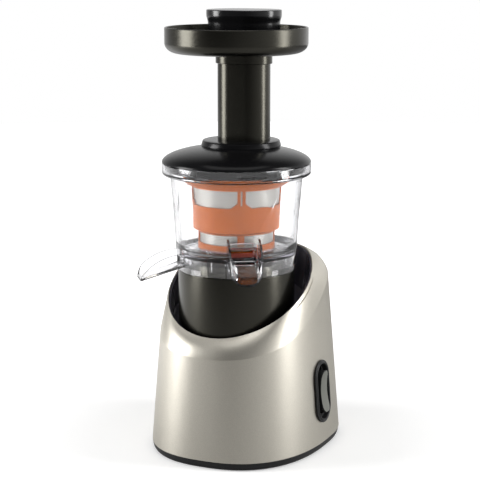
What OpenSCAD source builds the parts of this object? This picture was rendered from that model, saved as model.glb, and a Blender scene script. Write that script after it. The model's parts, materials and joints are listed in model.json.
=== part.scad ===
// Upright slow juicer: motor stand with a swept opening, drum, clear bowl with two spouts,
// strainer, pressing screw, lid, feed tube with tray, and pusher.
// Front is -Y, up is +Z, and the origin is the middle of the footprint on the worktop.

/* [Stand] */
// Width of the housing at its foot
base_w = 187; // [180:1:200]
// Length of the housing at its foot, front to back
base_l = 217; // [210:1:232]
// How far behind the middle the housing is widest
wide_y = 16.5; // [12:0.5:20]
// Squareness of the plan, where 2 is an ellipse
plan_n = 2.45; // [2.3:0.05:2.8]
// Height of the housing's lower edge
seam_z = 8.5; // [7.5:0.5:10]
// Wall of the housing
shell_wall = 2.6; // [2.2:0.1:3]
// Distance of the drive axis in front of the middle
axis_front = 20.5; // [19:0.5:23]
// Height of the rubber feet
foot_h = 3.5; // [2.5:0.5:5]
// Radius of a rubber foot
foot_r = 9; // [7:0.5:10]

/* [Rim] */
// Radius of the opening round the drum
rim_r = 75.5; // [74:0.5:78]
// Room between the drum and the rim at the front
rim_room = 5; // [4.5:0.25:6]
// How far the leaning side walls would clear the opening at the level of its back
rim_margin = 2.65; // [2:0.05:5]
// Height of the rim at its front
rim_front_z = 132.5; // [129:0.5:138]
// Height of the level rim at its back
rim_back_z = 208; // [200:1:214]
// Rise of the rim for each millimetre towards the back
rim_slope = 0.6; // [0.54:0.01:0.66]
// Radius where the rising rim turns level
rim_turn_r = 70; // [50:1:76]
// Depth of the shoulder band at the front
band_front = 19; // [15:0.5:23]
// Depth of the shoulder band at the sides
band_side = 30; // [25:0.5:33]
// Depth of the lip inside the rim
lip_h = 4; // [3.5:0.25:5]
// Wall of the dished liner
liner_wall = 1.6; // [1.4:0.1:2]
// Depth of the liner's floor below the rim at the front
liner_sink = 8.2; // [6.5:0.1:10]
// Rise of the liner's floor for each millimetre towards the back
liner_slope = 0.29; // [0.2:0.01:0.34]

/* [Drum] */
// Wall of the drum
drum_wall = 2.5; // [2:0.1:2.8]
// Room between the drum and the gearbox inside it
drum_room = 1.5; // [1:0.1:3]
// How far the drum reaches below the liner's floor
drum_under = 6.3; // [4:0.1:9]
// Height of the shoulder that carries the bowl above the gearbox
shoulder_h = 13.7; // [12:0.1:16]
// Radius of the spigot inside the bowl's skirt
spigot_r = 50; // [48:0.5:50.5]
// Height of the spigot above the shoulder
spigot_h = 9.3; // [8:0.1:10]
// Width of the three keys that stop the bowl from turning
key_w = 16; // [12:1:18]

/* [Bowl] */
// Height of the bowl
bowl_h = 110.7; // [106:0.1:120]
// Wall of the bowl
bowl_wall = 2.4; // [2:0.1:2.8]
// How far the bowl stands over the drum's side
bowl_over = 1.5; // [1:0.25:2]
// How much wider the bowl is under its flange than above its skirt
bowl_flare = 6; // [4:0.25:8]
// How far the flange stands out from the wall under it
flange_out = 8.5; // [8:0.25:10]
// Height of the flange
flange_h = 11.4; // [10:0.2:13]
// Height of the floor above the bowl's foot
floor_h = 18; // [17.5:0.1:20]
// Thickness of the floor
floor_t = 2.5; // [2:0.1:3]
// Radius between floor and wall
floor_round = 11; // [8:0.5:13]
// Outside radius of the tube round the shaft
hub_r = 13; // [12.5:0.1:13.5]

/* [Spouts] */
// Direction of the juice spout, from the front towards the right
juice_turn = -52; // [-60:1:-45]
// Direction of the pulp spout, from the front towards the right
pulp_turn = 30.5; // [28:0.5:40]
// Outside width of both spouts
spout_w = 34; // [30:0.5:36]
// Wall of the spouts
spout_wall = 2.2; // [1.8:0.1:2.6]
// Reach of the juice spout from the drive axis
juice_reach = 104; // [98:1:110]
// Height of the juice spout's edge above the bowl's foot
juice_edge = 19; // [18:0.5:22]
// Downward slope of the juice spout in degrees
juice_slope = 15.5; // [12:0.5:18]
// Reach of the pulp spout from the drive axis
pulp_reach = 101; // [96:1:106]
// Height of the pulp spout's edge above the bowl's foot
pulp_edge = 41; // [38:0.5:44]
// Downward slope of the pulp spout in degrees
pulp_slope = 16; // [13:0.5:19]
// Width of the pulp tunnel inside
tunnel_w = 25.6; // [22:0.2:27]
// Height of the pulp tunnel inside
tunnel_h = 15.6; // [14:0.2:16]

/* [Strainer] */
// Radius of the strainer's lower part
strainer_low_r = 40; // [38.5:0.25:40.5]
// How much wider the strainer is above its step
strainer_out = 5; // [4:0.25:6]
// Depth of the strainer's rim below the bowl's
strainer_sink = 14.2; // [13:0.1:18]
// Wall of the strainer's frame
strainer_wall = 1.6; // [1.4:0.1:2]
// Thickness of the mesh lining
mesh_t = 0.5; // [0.4:0.1:0.8]
// Height of the upper windows
window_h = 18; // [14:0.5:20]
// Height of the lower windows
low_window_h = 12; // [9:0.5:13]
// Number of windows in each row
window_n = 4; // [3:1:6]

/* [Screw] */
// Gap between the pressing screw and the mesh
screw_gap = 1.2; // [0.6:0.1:3]
// Radius of the core under the top pin
core_top_r = 13; // [11:0.5:16]
// Radius of the core above the foot
core_foot_r = 29; // [26:0.5:31]
// Height for one turn of a flight
flight_pitch = 84; // [70:1:100]
// Radius of the top pin
pin_r = 4.9; // [4:0.1:5.5]

/* [Lid] */
// Rise of the lid's dome
lid_rise = 17.5; // [15:0.5:19]
// Wall of the lid
lid_wall = 2.6; // [2.2:0.1:3]
// Radius of the boss round the feed tube
boss_r = 41.5; // [40:0.5:44]
// How far the boss lies behind the drive axis
boss_back = 12; // [10:0.5:14]
// Height of the boss above the lid's edge
boss_h = 21.5; // [20.5:0.5:24]
// Room between the plug and the flange, where the lugs turn
plug_room = 2.6; // [2.2:0.1:4]

/* [Feed tube] */
// Radius of the tube's round sides, outside
tube_r = 19.6; // [18.5:0.1:21]
// Half the distance between the two round sides
tube_half = 8.5; // [7:0.5:10]
// How far the tube lies behind the drive axis
tube_back = 19; // [18:0.5:21]
// Height of the tube
tube_h = 100; // [90:1:115]
// Wall of the tube
tube_wall = 2.2; // [1.8:0.1:2.6]

/* [Tray] */
// Radius of the tray
tray_r = 73.4; // [70:0.2:78]
// Height of the tray
tray_h = 26.4; // [24:0.2:32]
// Wall of the tray
tray_wall = 2.2; // [1.8:0.1:2.8]
// Height of the collar under the tray
collar_h = 11.6; // [9:0.2:14]

/* [Pusher] */
// Radius of the pusher's head at its widest
head_r = 31.1; // [29:0.1:33]
// Height of the pusher's head
head_h = 40.7; // [38:0.1:46]
// How far the stem ends above the tube's foot
stem_short = 9; // [4:1:20]

/* [Switch] */
// Place of the switch, measured from the middle towards the back
switch_y = 0.5; // [-6:0.5:4]
// Height of the switch's middle
switch_z = 63; // [60:0.5:66]
// Width of the bezel
bezel_w = 35; // [33:0.5:37]
// Height of the bezel
bezel_l = 67; // [65:0.5:69]
// Room between the rocker's sides and the bezel's
rocker_side = 9.5; // [9:0.5:10.5]
// Room between the rocker's ends and the bezel's
rocker_end = 8; // [8:0.25:9.5]
// Height of the rocker's hollow face above its dish, in its middle
rocker_face = 4; // [3:0.1:5]
// Radius of the rocker's hollow face
rocker_hollow = 40; // [36:1:70]
// Depth of the rocker's dish below the wall
switch_sink = 4.4; // [3.5:0.1:5]

/* [Drive] */
// Radius of the motor's shaft at its ends
shaft_r = 3; // [2.6:0.1:3.2]
// Radius of the stator
stator_r = 42; // [41:0.5:43]
// Height of the stator's stack
stack_h = 40; // [34:0.5:40]
// Height of the pillars that carry the motor
pillar_h = 45.5; // [44:0.5:46]
// Module of the first pair of gears
fast_module = 0.8; // [0.75:0.01:0.8]
// Module of the second pair of gears
slow_module = 1; // [0.96:0.01:1]
// Radius of the output shaft
output_r = 6; // [5.8:0.1:6.3]
// How far the hexagon's corners lie inside the output shaft
hex_relief = 0.23; // [0.2:0.01:0.6]
// Radius of the middle gear's axle
axle_r = 3; // [2.5:0.1:3.4]
// Wall of the gearbox
case_wall = 2.4; // [2:0.1:3]
// Room between the gears and the gearbox
gear_room = 1.04; // [0.8:0.01:2]

/* [Hidden] */

$fn = 72;
fit = 0.05;         // clearance of a shaft in its bearing
press = 0.02;       // clearance of a part that is pressed on
slip = 0.15;        // clearance of a part that is pushed in by hand
gap = 0.3;          // gap between parts that rest on each other
sunk = 0.5;         // how deep a raised feature is rooted in what it stands on
cut = 1;            // how far a cut runs past a face

// Drive train: the motor and the middle gear lie behind the output shaft
fast_teeth = [12, 52];
slow_teeth = [13, 51];
slow_centre = slow_module*(slow_teeth[0] + slow_teeth[1])/2;
fast_centre = fast_module*(fast_teeth[0] + fast_teeth[1])/2;
tip_share = 0.95;     // height of a tooth above the pitch circle, in modules
root_share = 1.25;    // depth of a tooth below the pitch circle, in modules
mid_back = slow_centre;
motor_back = slow_centre - fast_centre;
case_r = mid_back + fast_module*(fast_teeth[1]/2 + tip_share) + gear_room + case_wall;
drum_r = case_r + drum_room + drum_wall;

// Plan of the housing
axis_y = -axis_front;
rim_back = rim_r - drum_r - rim_room;
wall_lean = (base_w/2 - rim_r - rim_margin)/(rim_back_z - seam_z);
rim_c = [0, axis_y + rim_back];
front_half = base_l/2 + wide_y;
back_half = base_l/2 - wide_y;
turn_meet = rim_back - rim_r + (rim_back_z - rim_front_z)/rim_slope;
turn_cut = rim_turn_r*tan(atan(rim_slope)/2);
turn_from = turn_meet - turn_cut*cos(atan(rim_slope));
turn_to = turn_meet + turn_cut;
sweep_steps = 80;
band_control = 0.78;  // height of the band's control point, as a share of the band

function plan_half(y) = y < wide_y ? front_half : back_half;
function plan_pt(t, inset) =
  let (b = sin(t) < 0 ? front_half : back_half)
  [(base_w/2 - inset)*sign(cos(t))*pow(abs(cos(t)), 2/plan_n),
   wide_y + (b - inset)*sign(sin(t))*pow(abs(sin(t)), 2/plan_n)];
function plan_outline(inset) = [for (i = [0:sweep_steps - 1]) plan_pt(360*i/sweep_steps, inset)];
function lean(z) = wall_lean*(z - seam_z);
function side_x(y, z) =
  (base_w/2 - lean(z))*pow(1 - pow(abs(y - wide_y)/(plan_half(y) - lean(z)), plan_n), 1/plan_n);
function rim_z(y) =
  let (v = y - axis_y)
  v < turn_from ? rim_front_z + rim_slope*(v - rim_back + rim_r)
  : v < turn_to ? rim_back_z - rim_turn_r + sqrt(pow(rim_turn_r, 2) - pow(turn_to - v, 2))
  : rim_back_z;
liner_front_z = rim_front_z - liner_sink;
function liner_z(y) = liner_front_z + liner_slope*(y - axis_y - rim_back + rim_r);
function unit(v) = v/norm(v);
function ray(t) = unit(plan_pt(t, 0) - rim_c);
function lift(p, z) = [p.x, p.y, z];
function bezier(a, b, c, s) = pow(1 - s, 2)*a + 2*s*(1 - s)*b + s*s*c;
function polar(r, a) = [r*cos(a), r*sin(a)];

// Levels of the stack
plate_z = 2;
plate_t = 2.5;
plate_top = plate_z + plate_t;
pillar_top = plate_top + pillar_h;
damper_h = 6;
bracket_t = 4;
coil_h = 12;
bracket_low_z = pillar_top + damper_h;
stack_z = bracket_low_z + bracket_t + coil_h + 2;
bracket_high_z = stack_z + stack_h + coil_h + 4;
case_z = bracket_high_z + bracket_t;
case_floor = 3;
gear_lift = 9;        // height of the first pair of gears above the gearbox's floor
fast_z = case_z + case_floor + gear_lift;
fast_w = 7;
mid_z = fast_z + fast_w + 2;
mid_t = 3.5;
slow_z = mid_z + mid_t + 2;
slow_w = 10;
cover_z = slow_z + slow_w + 5.5;
cover_t = 4;
deck_t = 2.8;
drum_foot_z = liner_front_z - drum_under;
drum_top_z = cover_z + cover_t + shoulder_h;
deck_z = drum_top_z + spigot_h;
bowl_z = drum_top_z + gap;
bowl_top = bowl_z + bowl_h;
floor_z = bowl_z + floor_h;
wall_low = bowl_z + 5;
wall_high = bowl_top - flange_h - 5.3;
hub_top = floor_z + 10;
hub_bore = hub_r - 3;
strainer_z = floor_z + gap + 2.2;
low_h = 20.5;         // height of the strainer's narrow part
step_z = strainer_z + low_h;
step_up = 2;
strainer_top = bowl_top - strainer_sink;
window_top = strainer_top - 9.5;
port_z = strainer_z + 2;
port_h = 8;
tunnel_z = floor_z - 3.6;
screw_z = floor_z + 5;
core_top = strainer_top + 7.5;
pin_top = core_top + 14;
hex_top = hub_top + 18;
lid_z = bowl_top + gap;
boss_top = lid_z + boss_h;
tube_z = lid_z + 11.3;
tube_top = tube_z + tube_h;
tray_z = tube_top + gap;
tray_floor = tray_z + 2.4;
tray_top = tray_z + tray_h;
head_z = tray_floor + gap;
stem_l = head_z - tube_z - stem_short;

// Motor and gearbox
pressure = 20;
tooth_slack = 0.06;   // how much each flank gives way, in millimetres on the pitch circle
rotor_r = 24;
air_gap = 0.4;
bearing_r = 8;
bolt_r = 2;
bolt_ring = stator_r - 4;
pillar_ring = stator_r + 10;
pillar_r = 6.5;
screw_ring = case_r - 9.5;
small_screw_r = 1.6;
neck_r = 5;           // lower journal of the output shaft
collar_r = 14;
seal_r = 9;
post_ring = 38;
hex_w = sqrt(3)*(output_r - hex_relief);

// Radii of the bowl and what stands in it
bowl_low_r = drum_r + bowl_over;
bowl_high_r = bowl_low_r + bowl_flare;
flange_r = bowl_high_r + flange_out;
recess_r = flange_r - 2.4;
plug_r = recess_r - plug_room;
skirt_r = bowl_low_r - 3.3;
strainer_r = strainer_low_r + strainer_out;
mesh_in = strainer_wall + 0.1 + mesh_t;
screw_r = strainer_low_r - mesh_in - screw_gap;
flight_r = strainer_r - mesh_in - screw_gap;

module on_axis(back = 0, z = 0) translate([0, axis_y + back, z]) children();
module round_four(r, first = 45) for (k = [0:3]) rotate(first + 90*k) translate([r, 0, 0]) children();
module toward(turn) on_axis() rotate(turn - 90) children();
module pipe(r_out, r_in, h) difference() {
  cylinder(r = r_out, h = h);
  translate([0, 0, -cut]) cylinder(r = r_in, h = h + 2*cut);
}
module slot(r, half) {
  translate([half, 0]) circle(r);
  translate([-half, 0]) circle(r);
  square([2*half, 2*r], center = true);
}
module slot_bar(r, half, h) linear_extrude(h) slot(r, half);
// A turned profile pulled apart sideways: two round ends with a straight piece between them
module pulled_turn(half, pts) {
  for (s = [-1, 1]) translate([s*half, 0, 0]) rotate_extrude() polygon(pts);
  rotate([90, 0, 90]) translate([0, 0, -half]) linear_extrude(2*half)
    polygon(concat(pts, [for (i = [len(pts) - 1:-1:0]) [-pts[i].x, pts[i].y]]));
}
// A closed ring swept from one section for each step
module ring_sweep(rings) {
  n = len(rings);
  m = len(rings[0]);
  polyhedron(points = [for (r = rings) each r], convexity = 8, faces = [
    for (i = [0:n - 1], j = [0:m - 1])
      let (a = i*m + j, b = ((i + 1)%n)*m + j, c = ((i + 1)%n)*m + (j + 1)%m, d = i*m + (j + 1)%m)
      each [[a, d, c], [a, c, b]]]);
}
// An open sweep of four-cornered sections with flat ends
module bar_sweep(rings) {
  n = len(rings);
  polyhedron(points = [for (r = rings) each r], convexity = 8, faces = concat(
    [[3, 2, 1], [3, 1, 0], [4*n - 4, 4*n - 3, 4*n - 2], [4*n - 4, 4*n - 2, 4*n - 1]],
    [for (i = [0:n - 2], j = [0:3])
      let (a = 4*i + j, b = a + 4, d = 4*i + (j + 1)%4, c = d + 4)
      each [[a, d, c], [a, c, b]]]));
}

// ---- Stand ----
function shell_section(t) =
  let (
    u = ray(t),
    top = rim_z((rim_c + rim_r*u).y),
    drop = band_front + (band_side - band_front)*u.x*u.x,
    fold = top - drop,
    crease = lift(plan_pt(t, lean(fold)), fold),
    bulge_z = fold + band_control*drop,
    bulge = lift(plan_pt(t, lean(bulge_z)), bulge_z),
    brow = lift(rim_c + (rim_r + 0.8)*u, top),
    belly = bezier(crease, bulge, brow, 0.5)
  )
  [lift(plan_pt(t, 0), seam_z), crease, for (s = [1:5]) bezier(crease, bulge, brow, s/6), brow,
   lift(rim_c + rim_r*u, top - 0.8), lift(rim_c + rim_r*u, top - lip_h),
   lift(rim_c + (rim_r + shell_wall)*u, top - lip_h),
   belly - lift(shell_wall*u, 0.6*shell_wall),
   lift(plan_pt(t, lean(fold) + shell_wall), fold - 3), lift(plan_pt(t, shell_wall), seam_z)];

boss_h_in = 16;
boss_out_r = 5;
rib_over = 3;         // how far the base plate's locating rib reaches up inside the housing
boss_ys = [46.5 - base_l/2, base_l/2 - 34.5];
function boss_x(y) = side_x(y, seam_z + boss_h_in) - shell_wall - 7;

// The switch stands square to the leaning, slightly curved side wall
switch_x = side_x(switch_y, switch_z);
switch_yaw = atan((side_x(switch_y + bezel_w/2, switch_z) - side_x(switch_y - bezel_w/2, switch_z))/bezel_w);
module on_side() translate([switch_x, switch_y, switch_z])
  rotate([0, 0, -switch_yaw]) rotate([0, 90 - atan(wall_lean), 0]) children();
module oval(w, l, z, h) translate([0, 0, z]) slot_bar(w/2, (l - w)/2, h);
barrel_in = 5.6;     // how much smaller than its face the bezel's barrel is
barrel_depth = 9 + switch_sink;

gland_z = 42;
gland_r = 6.5;
gland_bore = 3.6;
gland_y = base_l/2 - lean(gland_z);

module outer_shell() color([0.74, 0.71, 0.67]) difference() {
  union() {
    ring_sweep([for (i = [0:sweep_steps - 1]) shell_section(360*i/sweep_steps)]);
    for (y = boss_ys, s = [-1, 1]) {
      translate([s*boss_x(y), y, seam_z]) cylinder(r = boss_out_r, h = boss_h_in);
      translate([s*(boss_x(y) + 4.2) - 4.2, y - 1.5, seam_z + rib_over + gap])
        cube([8.4, 3, boss_h_in - rib_over - gap]);
    }
  }
  for (y = boss_ys, s = [-1, 1])
    translate([s*boss_x(y), y, seam_z - cut]) cylinder(r = small_screw_r + fit, h = boss_h_in);
  on_side() oval(bezel_w - barrel_in + 2*gap, bezel_l - barrel_in + 2*gap, -12, 20);
  translate([0, gland_y - 12, gland_z]) rotate([-90, 0, 0]) cylinder(r = gland_r + slip, h = 24);
}

function liner_section(t) =
  let (
    u = ray(t),
    rim = rim_c + (rim_r - 0.2)*u,
    top = rim_z((rim_c + rim_r*u).y),
    axis = [0, axis_y],
    w = unit(rim - axis),
    edge = axis + (drum_r + gap)*w,
    room = norm(rim - edge),
    side_in = liner_wall + 0.22*room,
    toe_in = side_in + 0.2*room,
    side = rim - side_in*w,
    toe = rim - toe_in*w,
    heel = rim - (side_in - liner_wall)*w,
    edge_out = edge + liner_wall*w,
    flange = rim_c + (rim_r + 2)*u,
    under = top - lip_h - 0.2
  )
  [lift(heel, liner_z(heel.y) - 0.4), lift(rim, under - liner_wall), lift(flange, under - liner_wall),
   lift(flange, under), lift(rim, under), lift(rim, top - 1.4), lift(rim - liner_wall*u, top - 1.4),
   lift(side, liner_z(side.y) + 2.4), lift(toe, liner_z(toe.y) + 0.5), lift(edge, liner_z(edge.y)),
   lift(edge, liner_z(edge.y) - 5), lift(edge_out, liner_z(edge_out.y) - 5),
   lift(edge_out, liner_z(edge_out.y) - liner_wall - 0.2), lift(toe, liner_z(toe.y) - liner_wall)];

module trim_liner() color([0.10, 0.09, 0.12])
  ring_sweep([for (i = [0:sweep_steps - 1]) liner_section(360*i/sweep_steps)]);

key_turns = [5, 125, 245];
key_h = 5;
post_r = 4;
module drum() color([0.20, 0.20, 0.19]) {
  on_axis() rotate_extrude() polygon([
    [drum_r - drum_wall, drum_foot_z], [drum_r, drum_foot_z], [drum_r, drum_top_z - 0.8],
    [drum_r - 0.8, drum_top_z], [spigot_r, drum_top_z], [spigot_r, deck_z - 1], [spigot_r - 1, deck_z],
    [collar_r, deck_z], [collar_r, deck_z + 4], [seal_r, deck_z + 4], [seal_r, deck_z - 6],
    [collar_r, deck_z - 6], [collar_r, deck_z - deck_t], [spigot_r - drum_wall, deck_z - deck_t],
    [spigot_r - drum_wall, drum_top_z - drum_wall], [drum_r - drum_wall, drum_top_z - drum_wall]]);
  for (a = key_turns) toward(a) translate([spigot_r - 2, -key_w/2, drum_top_z - sunk])
    cube([skirt_r - spigot_r - 1.2, key_w, key_h + sunk]);
  on_axis(0, cover_z + cover_t) round_four(post_ring, 0)
    cylinder(r = post_r, h = deck_z - deck_t/2 - cover_z - cover_t);
}

module plate_vents() for (i = [-3:3]) translate([9*i - 2, axis_y + motor_back - 26, plate_z - cut])
  cube([4, 52, plate_t + 2*cut]);

foot_places = [for (s = [1, -1])
  each [[s*(base_w/2 - 35.5), 58.5 - base_l/2], [s*(base_w/2 - 39.5), base_l/2 - 42.5]]];
cap_place = [67.5 - base_w/2, base_l/2 - 46.5];
cap_r = 16;
cap_h = 46;
board_place = [30, base_l/2 - 44.5];
board_size = [50, 38, 1.6];
board_z = plate_top + 9;
board_posts = [for (x = [-1, 1], y = [-1, 1])
  [board_place.x + x*(board_size.x/2 - 4), board_place.y + y*(board_size.y/2 - 4)]];
locate = shell_wall + 0.6;     // how far the plate's locating rib stays inside the housing's plan
foot_wall = 2;
screw_well_r = 6.5;
screw_head_r = 3.3;
module base_plate() color([0.09, 0.09, 0.09]) difference() {
  union() {
    translate([0, 0, plate_z]) linear_extrude(plate_t) polygon(plan_outline(4));
    translate([0, 0, plate_z + 1]) linear_extrude(seam_z - plate_z - 1) difference() {
      polygon(plan_outline(1.4));
      polygon(plan_outline(5.4));
    }
    translate([0, 0, plate_z + 1]) linear_extrude(seam_z + rib_over - plate_z - 1) difference() {
      polygon(plan_outline(locate + 0.5));
      polygon(plan_outline(locate + 2.3));
    }
    for (y = boss_ys, s = [-1, 1])
      translate([s*boss_x(y), y, plate_z]) cylinder(r = screw_well_r, h = seam_z - plate_z);
    on_axis(motor_back, plate_top - sunk) round_four(pillar_ring) {
      cylinder(r = pillar_r, h = pillar_h + sunk);
      for (a = [0:90:270]) rotate(a) translate([0, -1, 0]) cube([pillar_r + 5, 2, pillar_h/2]);
    }
    translate([cap_place.x, cap_place.y, plate_top - sunk]) pipe(cap_r + 2.2, cap_r + slip, 10 + sunk);
    for (p = board_posts)
      translate([p.x, p.y, plate_top - sunk]) cylinder(r = 3, h = board_z - plate_top + sunk);
    for (f = foot_places) translate([f.x, f.y, plate_z]) cylinder(r = foot_r + foot_wall, h = foot_h + 0.5);
  }
  plate_vents();
  for (f = foot_places)
    translate([f.x, f.y, plate_z - cut]) cylinder(r = foot_r + slip, h = cut + foot_h - plate_z);
  for (y = boss_ys, s = [-1, 1]) translate([s*boss_x(y), y, plate_z - cut]) {
    cylinder(r = small_screw_r + slip, h = 12);
    cylinder(r = screw_head_r + gap, h = cut + 2.5);
  }
  for (y = boss_ys, s = [-1, 1])
    translate([s*boss_x(y), y, seam_z]) cylinder(r = boss_out_r + gap, h = rib_over + cut);
  on_axis(motor_back, pillar_top - 14) round_four(pillar_ring) cylinder(r = bolt_r + fit, h = 15);
}

module rubber_feet() color([0.06, 0.06, 0.06])
  for (f = foot_places) translate([f.x, f.y, 0]) rotate_extrude()
    polygon([[0, 0], [foot_r - 1, 0], [foot_r, 1], [foot_r, foot_h], [0, foot_h]]);

module base_screws() color("silver")
  for (y = boss_ys, s = [-1, 1]) translate([s*boss_x(y), y, 0]) {
    translate([0, 0, plate_z + 0.4]) cylinder(r = screw_head_r, h = 2.1);
    translate([0, 0, plate_z + 2]) cylinder(r = small_screw_r, h = seam_z + 11 - plate_z);
  }

module cord_gland() color([0.07, 0.07, 0.07])
  translate([0, gland_y, gland_z]) rotate([-90, 0, 0]) difference() {
    union() {
      translate([0, 0, 0.5]) cylinder(r1 = gland_r + 2.5, r2 = gland_r + 1.6, h = 1.8);
      translate([0, 0, -7]) cylinder(r = gland_r, h = 8);
      translate([0, 0, -6.6]) cylinder(r = gland_r + 1.8, h = 2.4);
    }
    translate([0, 0, -10]) cylinder(r = gland_bore, h = 20);
  }

// ---- Switch ----
rocker_w = bezel_w - 2*rocker_side;
rocker_r = bezel_l/2 - rocker_end;
rocker_pivot = -3;
rocker_pin_r = 1.6;
opening_l = 2*rocker_r + 1;
module switch_bezel() color([0.08, 0.08, 0.08]) on_side() difference() {
  union() {
    oval(bezel_w, bezel_l, gap, 1.9);
    oval(bezel_w - 1.6, bezel_l - 1.6, gap, 2.7);
    oval(bezel_w - barrel_in, bezel_l - barrel_in, -barrel_depth, barrel_depth + 1);
  }
  oval(bezel_w - 8, bezel_l - 8, 1.6 - switch_sink, 12);
  translate([-opening_l/2, -rocker_w/2 - gap, -2 - switch_sink])
    cube([opening_l, rocker_w + 2*gap, 10]);
  translate([-opening_l/2 - 1, -rocker_w/2 - 2.8, -barrel_depth - cut])
    cube([opening_l + 2, rocker_w + 5.6, barrel_depth + 0.5 - switch_sink]);
}

module rocker() color([0.45, 0.46, 0.48]) on_side() translate([0, 0, -switch_sink]) {
  rotate([90, 0, 0]) linear_extrude(rocker_w, center = true) difference() {
    intersection() {
      translate([0, rocker_pivot]) circle(rocker_r);
      translate([-30, -8]) square([60, 18]);
    }
    translate([0, rocker_face + rocker_hollow]) circle(rocker_hollow);
    translate([-rocker_r + 4, -9]) square([2*rocker_r - 8, 4]);
  }
  translate([0, 0, rocker_pivot]) rotate([90, 0, 0])
    cylinder(r = rocker_pin_r, h = rocker_w + 4, center = true);
}

module switch_body() color([0.12, 0.12, 0.13]) on_side() translate([0, 0, -switch_sink]) difference() {
  union() {
    translate([-24, -rocker_w/2 - 2.4, -30]) cube([48, rocker_w + 4.8, 17]);
    for (s = [-1, 1]) translate([-8, s*(rocker_w/2 + 1.35) - 1.05, -14]) cube([16, 2.1, 13]);
    for (x = [-15, 0, 15], s = [-1, 1]) translate([x - 2.4, s*4 - 0.4, -38]) cube([4.8, 0.8, 9]);
  }
  translate([0, 0, rocker_pivot]) rotate([90, 0, 0])
    cylinder(r = rocker_pin_r + fit, h = 60, center = true);
}

module run_capacitor() color([0.75, 0.75, 0.72]) translate([cap_place.x, cap_place.y, plate_top]) {
  cylinder(r = cap_r, h = cap_h);
  for (s = [-1, 1]) translate([s*6 - 0.4, -2.5, cap_h - 1]) cube([0.8, 5, 8]);
}

// A bare board with a relay, a transformer, a capacitor and a row of terminals
module control_board() color([0.10, 0.30, 0.18]) translate([board_place.x, board_place.y, board_z]) {
  translate([-board_size.x/2, -board_size.y/2, 0]) cube(board_size);
  translate([0, 0, board_size.z - 0.1]) {
    translate([-20, -12, 0]) cube([16, 12, 13]);
    translate([2, -13, 0]) cube([19, 15, 11]);
    translate([-14, 10, 0]) cylinder(r = 5, h = 14);
    for (i = [0:3]) translate([1 + 6*i, 7, 0]) cube([4, 7, 5]);
  }
}

// ---- Motor ----
damper_r = 7.5;
module motor_dampers() color([0.06, 0.06, 0.06])
  on_axis(motor_back, pillar_top) round_four(pillar_ring) difference() {
    rotate_extrude() polygon([[0, 0], [damper_r, 0], [damper_r, 1.5], [damper_r - 1.5, damper_h/2],
      [damper_r, damper_h - 1.5], [damper_r, damper_h], [0, damper_h]]);
    translate([0, 0, -cut]) cylinder(r = bolt_r + fit, h = damper_h + 2*cut);
  }

module motor_plate(z, eared) on_axis(motor_back, z) difference() {
  union() {
    cylinder(r = stator_r + 1, h = bracket_t);
    if (eared) round_four(pillar_ring) {
      cylinder(r = 8.5, h = bracket_t);
      translate([-14, -6, 0]) cube([14, 12, bracket_t]);
    }
  }
  translate([0, 0, -cut]) cylinder(r = bearing_r, h = bracket_t + 2*cut);
  translate([0, 0, -cut]) round_four(bolt_ring, 0) cylinder(r = bolt_r + fit, h = bracket_t + 2*cut);
  if (eared)
    translate([0, 0, -cut]) round_four(pillar_ring) cylinder(r = bolt_r + fit, h = bracket_t + 2*cut);
  for (a = [22.5:45:360]) rotate(a) translate([22, -3.5, -cut]) cube([11, 7, bracket_t + 2*cut]);
}
module lower_motor_bracket() color([0.62, 0.63, 0.64]) motor_plate(bracket_low_z, true);
module upper_motor_bracket() color([0.62, 0.63, 0.64]) motor_plate(bracket_high_z, false);

module motor_screws() color([0.8, 0.8, 0.8]) {
  on_axis(motor_back, bracket_low_z) round_four(bolt_ring, 0) {
    translate([0, 0, -2.6]) cylinder(r = 3.4, h = 2.6);
    cylinder(r = bolt_r, h = case_z + case_floor - bracket_low_z - 0.3);
  }
  on_axis(motor_back, bracket_low_z + bracket_t) round_four(pillar_ring) {
    cylinder(r = 3.6, h = 2.4);
    translate([0, 0, -bracket_t - damper_h - 12]) cylinder(r = bolt_r, h = bracket_t + damper_h + 12.5);
  }
}

slot_n = 12;
coil_in = rotor_r + air_gap + 2;
coil_out = bolt_ring - bolt_r - 1;
slot_w = 5.2;
module stator_core() color([0.42, 0.43, 0.45]) on_axis(motor_back, stack_z) difference() {
  cylinder(r = stator_r, h = stack_h);
  translate([0, 0, -cut]) cylinder(r = rotor_r + air_gap, h = stack_h + 2*cut);
  translate([0, 0, -cut]) round_four(bolt_ring, 0) cylinder(r = bolt_r + fit, h = stack_h + 2*cut);
  for (k = [0:slot_n - 1]) rotate(360*(k + 0.5)/slot_n) translate([coil_in, -slot_w/2, -cut])
    cube([coil_out - coil_in - 1.2, slot_w, stack_h + 2*cut]);
}

module motor_windings() color([0.70, 0.38, 0.18]) on_axis(motor_back, stack_z) {
  for (z = [gap - coil_h, stack_h]) translate([0, 0, z]) pipe(coil_out, coil_in + 0.2, coil_h - gap);
  for (k = [0:slot_n - 1]) rotate(360*(k + 0.5)/slot_n) translate([coil_in + gap, gap - slot_w/2, -cut])
    cube([coil_out - coil_in - 1.8, slot_w - 2*gap, stack_h + 2*cut]);
}

module motor_bearings() color([0.75, 0.75, 0.75])
  for (z = [bracket_low_z, bracket_high_z])
    on_axis(motor_back, z) pipe(bearing_r - press, shaft_r + fit, bracket_t);

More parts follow.
